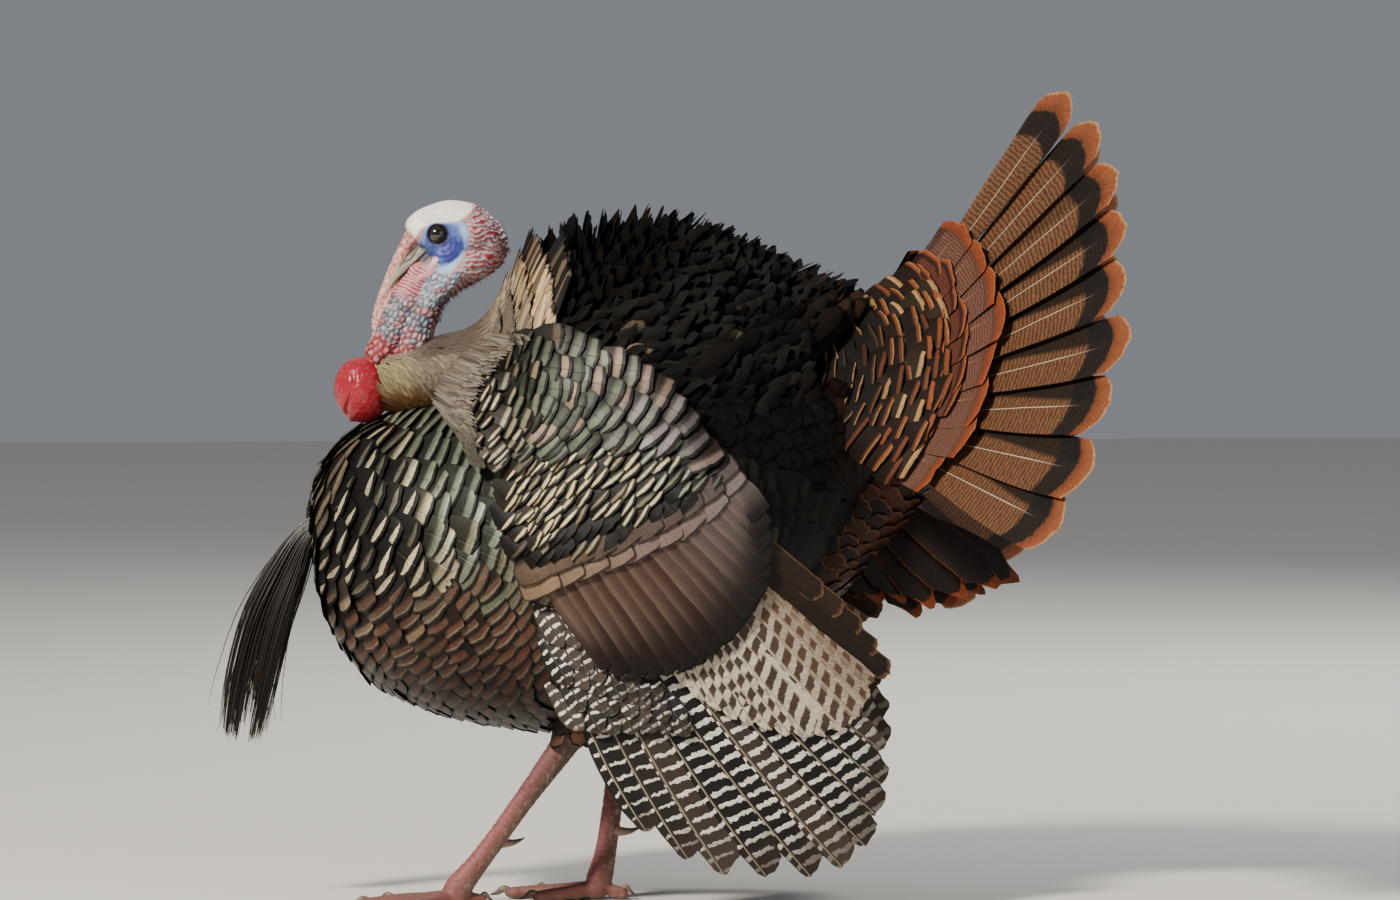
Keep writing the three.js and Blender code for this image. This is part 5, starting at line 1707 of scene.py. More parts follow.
    skin = washed(
        skin,
        ("#b3495a", folds),
        ("#dcaeb2", folds * ease(0.1, 0.8, fold)),
        ("#6b2a38", folds * ease(-0.35, -0.9, fold) * 0.8))
    skin = blobs(skin, redZone, redWart, redOwner, ("#a84548", "#9c3a40", "#b3605c", "#8e3038", "#a84f50"),
                 "#5a1a24", 10)
    skin = blobs(skin, wartZone, wart, owner,
                 ("#66788a", "#8e959c", "#b3aca8", "#a8686c", "#98555c", "#5b6672", "#b08a88"), "#3a333f", 9)
    skin = blobs(skin, cheekZone, cheekWart, cheekOwner,
                 ("#7f95a8", "#a3b0b8", "#6c8298", "#93666e", "#b4bbbd"), "#44495c", 8)
    skin = washed(
        skin,
        ("#445b9f", zones["blue"]),
        ("#7fa0c8", zones["blue"] * ease(19, 24, around + 2 * broad)))
    rimBlue = ease(22.5, 25, around + 2 * broad) * ease(650, 640, z - 0.6 * (x + 150))
    skin = washed(
        skin,
        ("#9dc0d6", zones["blue"] * rimBlue * 0.7),
        ("#2f2f80", zones["violet"] * (0.8 + 0.2 * broad)),
        ("#8fa3c8", zones["blue"] * ease(-173, -180, x) * ease(655, 662, z) * 0.8),
        ("#6a7fbc", zones["blue"] * ease(0.35, 0.8, softNoise(verts, 3.4, 25)) * 0.6))
    gape = splinePoints([(-165.5, 0, 643.5), (-168, 0, 635), (-174, 0, 628), (-185, 0, 622.5)], 30)
    toGape = np.sqrt(((verts[:, None, ::2] - gape[None, :, ::2]) ** 2).sum(-1)).min(1)
    onGape = ease(3.6, 2.2, toGape) * side3 * ease(6, 9, reach)
    skin = washed(
        skin,
        ("#c88389", onGape),
        ("#e3c9c4", onGape * ease(637, 642, z)),
        ("#f3eee0", zones["cap"] * (0.96 + 0.04 * grainy)),
        ("#e8cfc6", zones["cap"] * ease(-186, -194, x) * 0.7))
    # a painted shadow line where the snood stands off the face
    snoodShadowLine = ease(12.5, 10.5, toSnood.min(1)) * ease(8.4, 9.6, toSnood.min(1)) * ease(676, 668, z)
    skin = washed(
        skin,
        ("#6d3238", snoodShadowLine * 0.75),
        ("#c08f86", onSnood),
        ("#963f42", onSnood * ease(0.1, 0.5, grainy) * 0.8),
        ("#e0cabf", onSnood * ease(0.1, 0.6, -grainy) * 0.6),
        ("#941f2c", onWattle),
        ("#b0434f", onWattle * ease(0.1, 0.7, softNoise(verts, 2.6, 22)) * 0.6),
        ("#1a1116", ease(12.2, 10.2, ring) * (reach > 10) * 0.95))
    shine = 0.25 + 0.65 * onWattle + 0.2 * zones["cap"] + 0.15 * onSnood
    mesh.vertices.foreach_set("co", verts.astype(np.float32).ravel())
    return mesh, skin, np.clip(shine, 0, 1), nape * ease(0.1, 0.5, ridge)


headMesh, headPaint, headShine, bristleZone = makeHeadSkin()
print("head skin:", len(headMesh.vertices), "points")

legs = {
    "voxel": 2.0, "smoothing": 4,
    "left": {"foot": (-148, -62), "yaw": 5, "hock": (-38, -72, 166), "knee": (8, -92, 268)},
    "right": {"foot": (-3, 18), "yaw": -6, "hock": (27, 44, 178), "knee": (62, 78, 282)},
    "toes": {"inner": (0.74, -34, 7.5), "middle": (1.0, 0, 8.5), "outer": (0.8, 32, 7.5), "hind": (0.34, 172, 6)},
    "middleToe": 92, "scute": 6.4, "toeScute": 5.2,
    "claw": {"long": 20, "hindLong": 14}, "spurAt": 0.7,
}


def legStops(leg):
    # foot, hock, knee and heel
    foot = leg["foot"]
    return (foot, np.array(leg["hock"], float), np.array(leg["knee"], float), np.array((foot[0] + 6, foot[1], 22.0)))


def toeLine(side, leg, name):
    # the toe's heading, its length and the height its root starts from
    share, angle, radius = legs["toes"][name]
    heading = math.radians(180 + leg["yaw"] + angle * side)
    return np.array((math.cos(heading), math.sin(heading))), legs["middleToe"] * share, radius


def makeLegSkin(side, leg):
    foot, hock, knee, heel = legStops(leg)
    shank = [(*(hock + (4, 0, 12)), 15, 11), (*hock, 14, 11), (*lerp(hock, heel, 0.4), 10.5, 8),
             (*lerp(hock, heel, 0.8), 10.5, 8.5),
             (foot[0] + 3, foot[1], 21, 13, 12), (foot[0] - 2, foot[1], 12, 11, 12)]
    thigh = [(*(knee + (4, 0, 6)), 62, 48), (*((knee + hock) / 2), 40, 33), (*(hock + (6, 0, 12)), 21, 17),
             (*(hock + (2, 0, -6)), 13, 10)]
    shapes = [tubeShape(shank, 32, 60, (1, 0, 0.2)), tubeShape(thigh, 24, 24, (1, 0, 0.2)),
              ballShape((foot[0] - 2, foot[1], 9.6), (15, 14, 10))]
    for name in legs["toes"]:
        way, long, radius = toeLine(side, leg, name)
        rise = 11 if name == "hind" else 9

        def along(t):
            return foot[0] + way[0] * long * t, foot[1] + way[1] * long * t

        shapes.append(tubeShape([(*along(0), rise + 2, radius, radius),
                                 (*along(0.35), rise - 0.6, radius * 0.92, radius),
                                 (*along(0.7), rise - 1.6, radius * 0.8, radius * 0.88),
                                 (*along(1), rise - 2.6, radius * 0.6, radius * 0.64)], 20, 36))
        for t in (0.34, 0.62, 0.88):
            if name != "hind" or t > 0.5:
                shapes.append(ballShape((*along(t), radius * 0.72), (radius * 1.05, radius * 0.95, radius * 0.72)))
    shapes.append(ballShape(lerp(hock, heel, legs["spurAt"]) + (4, -side * 3, 0), (8, 6.5, 8)))  # the spur's root
    mesh = fused(shapes, legs["voxel"], legs["smoothing"])
    verts, normals = readMesh(mesh)
    x, y, z = verts.T

    # scutes: broad plates down the front, small scales behind, plates across the toes
    line = splinePoints(shank, 120)[:, :3]
    gap = np.linalg.norm(verts[:, None] - line[None], axis=2)
    nearest, near = gap.argmin(1), gap.min(1)
    down = lengthsAlong(line)[nearest]
    outward = verts - line[nearest]
    frontness = -outward[:, 0] / np.maximum(np.linalg.norm(outward, axis=1), 1e-6)
    onShank = ease(9, 24, z) * ease(hock[2] + 16, hock[2] + 2, z) * (near < 24)
    plate = (down + 2.2 * softNoise(verts, 9, 31) + 3.0 * np.abs(frontness - 0.6)) / legs["scute"]
    saw = plate % 1.0
    step = np.exp(-(np.minimum(saw, 1 - saw) / 0.09) ** 2)
    frontShare = onShank * ease(-0.15, 0.15, frontness)
    push = frontShare * (0.5 - 0.75 * step)
    turn = np.arctan2(outward[:, 1], outward[:, 0]) * 10
    cellA = turn / 4.2
    cellB = down / 4.2
    odd = np.floor(cellB) % 2 * 0.5
    cell = np.hypot((cellA + odd) % 1 - 0.5, cellB % 1 - 0.5)
    scale = ease(0.56, 0.3, cell)
    backShare = onShank * ease(0.1, -0.2, frontness)
    push += backShare * (0.42 * scale - 0.2)
    toeShare, toeStep = np.zeros(len(verts)), np.zeros(len(verts))
    for name in legs["toes"]:
        way, long, radius = toeLine(side, leg, name)
        rel = verts[:, :2] - np.array(foot)
        along, off = rel @ way, np.abs(rel @ np.array((-way[1], way[0])))
        here = (along > 12) & (along < long + 8) & (off < radius * 1.15)
        saw = (along / legs["toeScute"]) % 1.0
        groove = np.exp(-(np.minimum(saw, 1 - saw) / 0.11) ** 2)
        topside = ease(0.45, 0.75, normals[:, 2])
        toeStep = np.where(here, groove * topside, toeStep)
        toeShare = np.where(here, topside * ease(10, 16, along), toeShare)
        grain = ease(0.5, 0.2, np.hypot((along / 3.0) % 1 - 0.5, (off / 3.0) % 1 - 0.5))
        push += np.where(here & (topside < 0.5), 0.25 * grain, 0)
    push += toeShare * (0.3 - 0.6 * toeStep)
    push *= ease(2.0, 5.0, z)
    verts = verts + normals * push[:, None]
    verts[:, 2] = np.maximum(verts[:, 2], 0.25 + 0.1 * (verts[:, 2] < 0.25))
    mesh.vertices.foreach_set("co", verts.astype(np.float32).ravel())

    broad, fine = softNoise(verts, 14, 33), softNoise(verts, 2.2, 34)
    skin = np.broadcast_to(tint("#855048"), (len(verts), 3)).copy()
    skin = washed(
        skin,
        ("#9c555a", frontShare * 0.85),
        ("#96605a", ease(0.1, 0.6, broad) * 0.5),
        ("#6e3a40", frontShare * step * 0.75),
        ("#b9857c", frontShare * ease(0.55, 0.95, plate % 1.0) * 0.35),
        ("#7a5c52", backShare * 0.8),
        ("#b09a8c", backShare * scale * ease(-0.1, 0.5, fine) * 0.85),
        ("#8f6660", toeShare * 0.6),
        ("#6d4142", toeStep * 0.7),
        ("#7a6359", ease(9, 2, z) * 0.75),
        # painted shade above the hock, under the thigh feathers
        ("#4a2f2c", ease(hock[2] - 4, hock[2] + 16, z) * 0.7))
    # the legs darken towards the top as painted shade under the body
    upper = ease(60, 150, z)[:, None]
    return mesh, skin * (np.array((0.78, 0.78, 0.74)) * (1 - upper) + np.array((0.5, 0.56, 0.54)) * upper)


def makeTrunkCore():
    # the trunk, neck and rear inside the feathers
    points, out, turn = table["points"], table["out"], table["turn"]
    x, z = points[..., 0], points[..., 2]
    way = unit(points - trunk["heart"])
    upper = ease(0.0, 0.35, np.cos(turn))[None, :] * ease(-150, -80, x)
    depth = lerp(17.0, 52.0, upper) + 6 * ease(150, 290, x)
    inset = depth / np.maximum(np.sum(way * out, -1), 0.55)
    radius = np.maximum(np.linalg.norm(points - trunk["heart"], axis=-1) - inset, 40)
    core = trunk["heart"] + way * radius[..., None]
    rings = core[1:-1:2, :-1:2]
    shapes = [closeRings(rings)]
    shapes.append(tubeShape([(-208, 0, 526, 15, 16), (-196, 0, 523, 21, 22), (-180, 0, 521, 26, 33),
                             (-150, 0, 525, 30, 47), (-112, 0, 540, 36, 62), (-66, 0, 560, 34, 66)], 32, 30))
    shapes.append(tubeShape([(130, 0, 300, 40, 50), (200, 0, 345, 46, 53), (250, 0, 392, 42, 49),
                             (296, 0, 432, 29, 38), (322, 0, 452, 12, 18)], 32, 24, (-0.6, 0, 0.8)))
    shapes.append(ballShape((246, 0, 478), (62, 62, 52), -57))  # the tail's root
    mesh = fused(shapes, 8.0, 4)
    verts, _ = readMesh(mesh)
    skin = np.broadcast_to(tint("#2a211d"), (len(verts), 3)).copy()
    throat = ease(-150, -205, verts[:, 0]) * ease(470, 500, verts[:, 2])
    skin = lerp(skin, tint("#5d5142"), throat[:, None])
    return mesh, skin


def skinFinish():
    finish = Finish("bare skin", specular=0.42, subsurface=0.18, scatter=(1.0, 0.32, 0.2), scatterScale=0.004)
    place = finish.solidPlace()
    fine = finish.noise(place, 900.0, 3.0, 0.6)
    pores = finish.noise(place, 2400.0, 2.0, 0.6)
    colour = finish.colour("skinPaint")
    grain = finish.between(fine, 0.25, 0.8, 0.88, 1.12)
    colour = finish.grained(colour, grain)
    shine = finish.dial("shine")
    rough = 0.62 - shine * 0.4
    rough = rough + finish.between(pores, 0.3, 0.8, -0.05, 0.08)
    finish.bump(fine * 0.8 + pores * 0.5, 0.35, 0.0005)
    return finish.done(colour, rough, 0.0)


def joinSkin():
    leftMesh, leftPaint = makeLegSkin(left, legs["left"])
    rightMesh, rightPaint = makeLegSkin(right, legs["right"])
    trunkMesh, trunkPaint = makeTrunkCore()
    dull = 0.12  # shine of the legs and trunk
    regions = (  # mesh, colours, shine, corner and size in the bake map
        (headMesh, headPaint, headShine, (0.0, 0.0), (0.66, 1.0)),
        (leftMesh, leftPaint, dull, (0.67, 0.0), (0.33, 0.33)),
        (rightMesh, rightPaint, dull, (0.67, 0.335), (0.33, 0.33)),
        (trunkMesh, trunkPaint, dull, (0.67, 0.67), (0.33, 0.33)))
    parts, start = [], 0
    for mesh, colour, shine, corner, size in regions:
        bake = unwrapped(mesh, corner, size)
        points, _ = readMesh(mesh)
        parts.append((points, readOut(mesh.loops, "vertex_index") + start, readOut(mesh.polygons, "loop_total"),
                      bake, colour, np.broadcast_to(shine, len(points))))
        start += len(points)
    verts, corners, sizes, bake, colour, shine = (np.concatenate(column) for column in zip(*parts))
    mesh = fillMesh("skin", verts, corners, sizes, {"OFBake": bake}, {"skinPaint": colour}, {"shine": shine}, False)
    showPiece(mesh, skinFinish(), (
        "head", "bare_neck", "dewlap", "snood", "wattle", "neck", "back", "rump", "breast", "belly",
        "thigh_left", "thigh_right", "undertail", "shank_left", "shank_right", "foot_left", "foot_right"))
    print("skin:", len(sizes), "faces")


joinSkin()


# eyes, bill, claws and spurs

def eyeFinish():
    finish = Finish("eye", specular=0.6, coat=0.9, coatRough=0.03)
    place = finish.solidPlace()
    x, y, z = finish.split(place)
    middle = np.array(head["eye"]["at"]) / 1000 + shift
    away = finish.math("SQRT", (x - float(middle[0])) ** 2.0 + (z - float(middle[2])) ** 2.0)
    iris = finish.noise(place, 900.0, 3.0)
    colour = finish.mix(finish.between(iris, 0.3, 0.7), "#170c08", "#2e1a10")
    colour = finish.mix(finish.between(away, 0.005, 0.0044), colour, "#040303")
    colour = finish.mix(finish.between(away, 0.0072, 0.0082), colour, "#120c0b")
    return finish.done(colour, 0.12, 0.0)


eyeMaterial = eyeFinish()
for side, sideName in sides:
    centre = np.array(head["eye"]["at"]) * (1, side, 1)
    verts, quads, caps = ballShape((0, 0, 0), (head["eye"]["radius"],) * 3, 0, 40)
    verts = verts[:, (1, 0, 2)] * (1, side, 1) + centre  # poles point sideways
    if side == right:
        quads, caps = quads[:, ::-1], caps[:, ::-1]
    makePiece("eyeBall." + sideName, verts, [quads, caps], eyeMaterial, ("eye_" + sideName,))

bill = {
    "base": (-175.0, 0.0, 652.0), "fall": 44.0, "long": 63.0,
    "upper": "#4b433d", "tip": "#a5957a", "edge": "#8d7f6c", "lower": "#7d6a60",
}


def billFinish():
    finish = Finish("bill horn", specular=0.45, subsurface=0.05, scatter=(1.0, 0.6, 0.4), scatterScale=0.002)
    t, high = finish.uv("Marks")
    grainPlace = finish.vector(t * 3.0, high * 60.0, 0.0)
    grain = finish.noise(grainPlace, 1.0, 3.0, 0.6)
    colour = finish.mix(finish.between(t, 0.35, 0.95), bill["upper"], bill["tip"])
    colour = finish.mix(finish.between(finish.dial("rimShare"), 0.3, 0.9), colour, bill["edge"])
    colour = finish.mix(finish.between(grain, 0.35, 0.75, 0.0, 0.35), colour, "#b0a28b")
    colour = finish.mix(finish.dial("lowerShare"), colour, bill["lower"])
    finish.bump(grain, 0.35, 0.0005)
    return finish.done(colour, 0.42, 0.0)


def tubeMarks(along, round):
    # (share of the length, share of the turn) for every point of a closed tube
    marks = [np.repeat(along, len(round)), np.tile(round, len(along))]
    return np.concatenate((np.stack(marks, 1), ((0, 0), (1, 0.5))))


def hornMaps(marks):
    return {"Marks": marks, "OFBake": marks * 0.96 + 0.02}


def layBill():
    # both halves follow the same falling line; sections are pointed below the upper half and flat above the lower
    fall = math.radians(bill["fall"])
    ahead = np.array((-math.cos(fall), 0, -math.sin(fall)))
    over = np.array((-math.sin(fall), 0, math.cos(fall)))
    material = billFinish()
    t = np.linspace(0, 1, 34)
    around = 40
    turn = np.arange(around) / around * 2 * math.pi
    thin = np.sqrt(np.clip(1 - 0.92 * t ** 2.2, 0, 1))
    for name, stands, isLower in (("billUpper", "bill_upper", False), ("billLower", "bill_lower", True)):
        long = bill["long"] * (0.84 if isLower else 1.0)
        centre = np.array(bill["base"]) + ahead * (t * long)[:, None]
        if isLower:
            centre = centre - over * (8.6 - 2.6 * t)[:, None]
            high, wide = 6.0 * thin, 7.6 * thin
        else:
            centre = centre - over * (6.5 * ease(0.5, 1, t) ** 2 * t)[:, None] + over * 0.8
            high, wide = 9.2 * thin, 9.2 * thin
        c, s = np.cos(turn), np.sin(turn)
        # upper half: round above, hollowed and sharp-edged below
        tall = np.where(c > 0, c, (0.42 if not isLower else 1.0) * c)
        if isLower:
            tall = np.where(c > 0, 0.35 * c, c)
        flare = 1 + 0.08 * np.exp(-((c + 0.12) / 0.22) ** 2)
        rings = (centre[:, None] + over * (tall[None, :, None] * high[:, None, None])
                 + np.array((0, 1.0, 0)) * ((s * flare)[None, :, None] * wide[:, None, None]))
        if not isLower:
            nostril = (np.exp(-(((t[:, None] - 0.24) / 0.09) ** 2 + ((np.abs(s)[None] - 0.74) / 0.16) ** 2))
                       * (c[None] > 0.2))
            rings = rings - (rings - centre[:, None]) * 0.22 * nostril[..., None]
        verts, quads, caps = closeRings(rings)
        marks = tubeMarks(t, turn / (2 * math.pi))
        rim = np.exp(-((np.tile(c, len(t)) + 0.12) / 0.2) ** 2)
        rim = np.concatenate((rim, (0.0, 0.0)))
        makePiece(name, verts, [quads, caps], material, (stands,), hornMaps(marks),
                  values={"rimShare": rim, "lowerShare": np.full(len(verts), 0.75 if isLower else 0.0)})


layBill()


def hornFinish(name, root, tip):
    finish = Finish(name, specular=0.45)
    t, high = finish.uv("Marks")
    grain = finish.noise(finish.vector(t * 2.0, high * 26.0), 1.0, 3.0)
    colour = finish.mix(finish.between(t, 0.1, 0.85), root, tip)
    colour = finish.mix(finish.between(grain, 0.35, 0.75, 0.0, 0.3), colour, "#a08d78")
    finish.bump(grain, 0.3, 0.0005)
    return finish.done(colour, 0.4, 0.0)


clawHorn = hornFinish("claw horn", "#6b5a4c", "#2c2420")
spurHorn = hornFinish("spur horn", "#9a7b66", "#3d2f28")


def layHorn(name, stops, material, stands, up=(0, 0, 1.0)):
    around, rings = 18, 23
    verts, quads, caps = tubeShape(stops, around, rings - 1, up)
    marks = tubeMarks(np.linspace(0, 1, rings), np.arange(around) / around)
    makePiece(name, verts, [quads, caps], material, (stands,), hornMaps(marks))


for side, sideName in sides:
    leg = legs[sideName]
    foot, hock, knee, heel = legStops(leg)
    for toeName in legs["toes"]:
        way, long, radius = toeLine(side, leg, toeName)
        clawLong = legs["claw"]["hindLong" if toeName == "hind" else "long"]
        height = (11 if toeName == "hind" else 9) - 2.4
        stops = []
        for t, lift, thick in ((0, 0.4, 0.66), (0.3, 1.0, 0.6), (0.62, 0.0, 0.42), (0.86, -0.42, 0.22),
                               (1.0, -0.72, 0.06)):
            far = long - 5 + clawLong * t
            stops.append((foot[0] + way[0] * far, foot[1] + way[1] * far,
                          max(height + lift * height * 0.55, 1.1), max(radius * thick * 0.72, 0.35),
                          max(radius * thick * 0.6, 0.3)))
        layHorn(f"claw.{sideName}.{toeName}", stops, clawHorn, f"claw_{sideName}_{toeName}")
    root = lerp(hock, heel, legs["spurAt"]) + (5, -side * 4, 0)
    stops = [(root[0] + a, root[1] - side * a * 0.15, root[2] + z, r, r * 0.9)
             for a, z, r in ((0, 0, 6.4), (8, -0.8, 5.0), (16, -0.2, 3.3), (23, 2.2, 1.6), (27.5, 4.6, 0.4))]
    layHorn(f"spur.{sideName}", stops, spurHorn, f"spur_{sideName}", (0, 1.0, 0))


# neck, mantle, thighs, undertail and the sides of the rump

neck = {
    "line": [(-222, 0, 523, 17, 15), (-214, 0, 522, 24, 25), (-204, 0, 521, 30, 34), (-184, 0, 523, 35, 43),
             (-150, 0, 529, 40, 57), (-117, 0, 536, 42, 66), (-87, 0, 554, 44, 74), (-66, 0, 581, 44, 80),
             (-56, 0, 610, 40, 80)],
    "step": 4.7, "pitch": 3.7, "length": 27.0, "width": 3.7,
    "shape": neckPlumeShape,
}


def tractOnTube(stops, step, pitch, seed):
    # anchor points on an oval tube, evenly spaced, with the way along it and outward
    rng = np.random.default_rng(seed)
    line = splinePoints(stops, 240)
    ahead = unit(np.gradient(line[:, :3], axis=0))
    side = unit(np.cross((0, 0, 1.0), ahead))
    top = np.cross(ahead, side)
    length = lengthsAlong(line[:, :3])
    spots, outs, lies, turns = [], [], [], []
    at, odd = step / 2, 0.0
    while at < length[-1]:
        k = int(np.searchsorted(length, at))
        high, wide = line[k, 3], line[k, 4]
        count = max(4, int(math.pi * (high + wide) / pitch))
        turn = (np.arange(count) + odd + rng.uniform(-0.2, 0.2, count)) / count * 2 * math.pi
        c, s = np.cos(turn)[:, None], np.sin(turn)[:, None]
        spots.append(line[k, :3] + top[k] * c * high + side[k] * s * wide
                     + ahead[k] * rng.normal(0, step * 0.15, (count, 1)))
        outs.append(unit(top[k] * c / high + side[k] * s / wide))
        lies.append(np.broadcast_to(ahead[k], (count, 3)))
        turns.append(turn)
        at += step
        odd = 0.5 - odd
    return (np.concatenate(v) for v in (spots, outs, lies, turns))


def tuftPatches(spot, low, high):
    # each tuft's patch sits at its root's place: along the body one way, round it the other
    x = (spot[:, 0] - low[0]) / (high[0] - low[0])
    turn = np.arctan2(spot[:, 1], spot[:, 2] - (low[1] + high[1]) / 2) / (2 * math.pi) + 0.5
    return vec(np.clip(x, 0, 1) * 0.99, np.clip(turn, 0, 1) * 0.99)


def layNeck():
    rng = np.random.default_rng(81)
    spot, out, along, turn = tractOnTube(neck["line"], neck["step"], neck["pitch"], 82)
    x, y, z = spot.T
    # beside and below, the lie falls to the breast; on the ridge it runs with the neck
    low = ease(40, -30, z - (534 + 0.55 * np.clip(x + 170, 0, 200))) * ease(-70, -170, x)
    wish = along + vec(0.25 + 0 * x, 0 * x, -1.9 * low)
    lie = flattened(wish, out)
    kept = ~((x < -206) & (z > 536)) & (x < -64) & (z > 470)
    kept &= ~((x < -186) & (z > 552) & (np.abs(y) < 20))
    spot, out, lie = pickRows(kept, spot, out, lie)
    x, y, z = spot.T
    count = len(spot)
    pick = rng.random(count)
    plume = mixTint("#7c7063", "#928674", pick)
    ridge = ease(0.25, 0.75, out[:, 2]) * ease(-190, -160, x)
    plume = mixTint(plume, "#4d4038", 0.85 * ridge)
    gold = ease(-168, -196, x) * ease(560, 530, z)
    plume = mixTint(plume, "#a89c68", 0.7 * gold * rng.uniform(0.5, 1, count))
    fringe = ease(512, 500, z) * ease(-140, -170, x)
    plume = mixTint(plume, "#8a5a34", 0.75 * fringe)
    dark = rng.random(count) < 0.1
    plume = mixTint(plume, "#2f2823", 0.3 * dark)
    plume = mixTint(plume, "#cdb894", 0.5 * ease(-130, -90, x) * (pick > 0.4))
    long = neck["length"] * rng.uniform(0.8, 1.2, count) * (1 + 0.25 * fringe)
    vane = bodyVanes(spot, lie, out, long, neck["width"] * rng.uniform(0.7, 1.25, count), neck["shape"], rng)
    painted(vane, plume, plume * 0.9, plume * 0.74, 0.05)
    makeFeathers("neckPlumes", vane, plumeFinish("fine neck plume",
                                                 {"metal": 0.1, "rootShadeEnd": 0.25, "rootShadeShare": 0.1,
                                                  "grain": 0.3, "shaft": 0.1, "sideStart": 0.42,
                                                  "glossy": 0.45, "dull": 0.65}),
                 bakeAt=tuftPatches(spot, (-230, 470), (-60, 625)))
    return count


print("neck tufts:", layNeck())

mantle = {
    "rowStep": 23.0, "pitch": 4.8, "length": 78.0, "width": 6.6,
    "shape": {"held": 0.7, "slope": 0.12, "cup": 0.3, "corner": 0.1, "tipRound": 0.05, "bend": 1 / 400, "roll": 4,
              "rollJitter": 5, "jitter": 2, "slopeJitter": 0.04, "thick": 0.6, "rootWidth": 0.7, "above": 2.0},
}


def layMantle():
    # long pale feathers in front of the back's black ones, and short dull ones that join them to the neck
    rng = np.random.default_rng(91)
    spot, out, lie, turn = trunkTract(mantle["rowStep"], mantle["pitch"], start=20, end=560, seed=9)
    x, y, z = spot.T
    kept = (x > -126) & (x < -44) & (z > 542) & (z < 652) & (np.cos(turn) > -0.3)
    kept &= z > 560 - 0.2 * (x + 60)
    spot, out, lie = pickRows(kept, spot, out, lie)
    x, y, z = spot.T
    count = len(spot)
    pale = ease(-6, 6, x + 76 + 0.2 * (z - 572) + rng.normal(0, 2, count))
    wish = vec(0.16 + 0 * x, 0 * x, 1 + 0 * x)
    lie = flattened(wish, out)
    # towards the rear and the top the pale feathers are darkened as painted shade
    edge = ease(-60, -46, x + rng.normal(0, 6, count)) + ease(624, 648, z + rng.normal(0, 8, count))
    pick = rng.random(count)
    plume = mixTint("#cdb087", "#977b5c", pick)
    plume = mixTint(plume, "#2a1f18", (rng.random(count) < 0.16) * 0.8)
    plume = mixTint("#6b5f53", plume, pale)
    plume = mixTint(plume, "#151110", np.clip(edge, 0, 1) * pale)
    long = mantle["length"] * lerp(0.5, 1.0, pale) * rng.uniform(0.85, 1.15, count)
    vane = bodyVanes(spot, lie, out, long, mantle["width"] * rng.uniform(0.8, 1.25, count), mantle["shape"], rng)
    painted(vane, plume, plume * 0.72, plume * 0.22, 0.025)
    makeFeathers("mantleFeathers", vane, plumeFinish("mantle feather",
                                                     {"metal": 0.12, "rootShadeEnd": 0.1, "grain": 0.35,
            "sideStart": 0.41, "glossy": 0.42, "dull": 0.6}))
    return count


print("mantle feathers:", layMantle())

darkPlume = {"held": 0.8, "slope": 0.12, "cup": 0.2, "corner": 0.12, "tipRound": 0.1, "bend": 1 / 160, "roll": 3,
             "jitter": 7, "thick": 0.6, "ragged": 0.02}


def layThighs():
    rng = np.random.default_rng(95)
    parts = []
    for side, sideName in sides:
        foot, hock, knee, heel = legStops(legs[sideName])
        line = [(*(knee + (2, 0, 2)), 68, 54), (*((knee + hock) / 2), 46, 38), (*(hock + (6, 0, 14)), 25, 21),
                (*(hock + (3, 0, 0)), 17, 14.5)]
        spot, out, lie, turn = tractOnTube(line, 13.0, 15.0, 96 + side)
        kept = spot[:, 2] > hock[2] + 2
        spot, out, lie = pickRows(kept, spot, out, lie)
        count = len(spot)
        plume = mixTint("#241c18", "#6b4a33", rng.random(count) * 0.7)
        vane = bodyVanes(spot, lie, out, 44 * rng.uniform(0.85, 1.1, count), 20 * rng.uniform(0.8, 1.1, count),
                         darkPlume, rng)
        painted(vane, plume, plume * 0.8, nearBlack, 0.06)
        parts.append(vane)
    makeFeathers("thighFeathers", joinVanes(*parts), plumeFinish("thigh feather", {"metal": 0.15}))


def layUndertail():
    rng = np.random.default_rng(98)
    line = [(120, 0, 290, 44, 54), (150, 0, 300, 50, 60), (200, 0, 345, 56, 64), (250, 0, 392, 52, 60),
            (296, 0, 432, 38, 48), (330, 0, 458, 16, 24)]
    spot, out, lie, turn = tractOnTube(line, 15.0, 20.0, 99)
    count = len(spot)
    plume = mixTint("#14100d", "#42261a", rng.random(count))
    vane = bodyVanes(spot, lie, out, 70 * rng.uniform(0.85, 1.15, count), 27 * rng.uniform(0.8, 1.1, count),
                     darkPlume, rng)
    painted(vane, plume, plume * 0.8, "#57301c", 0.05)
    makeFeathers("undertailFeathers", vane, plumeFinish("undertail feather", {"metal": 0.1}))


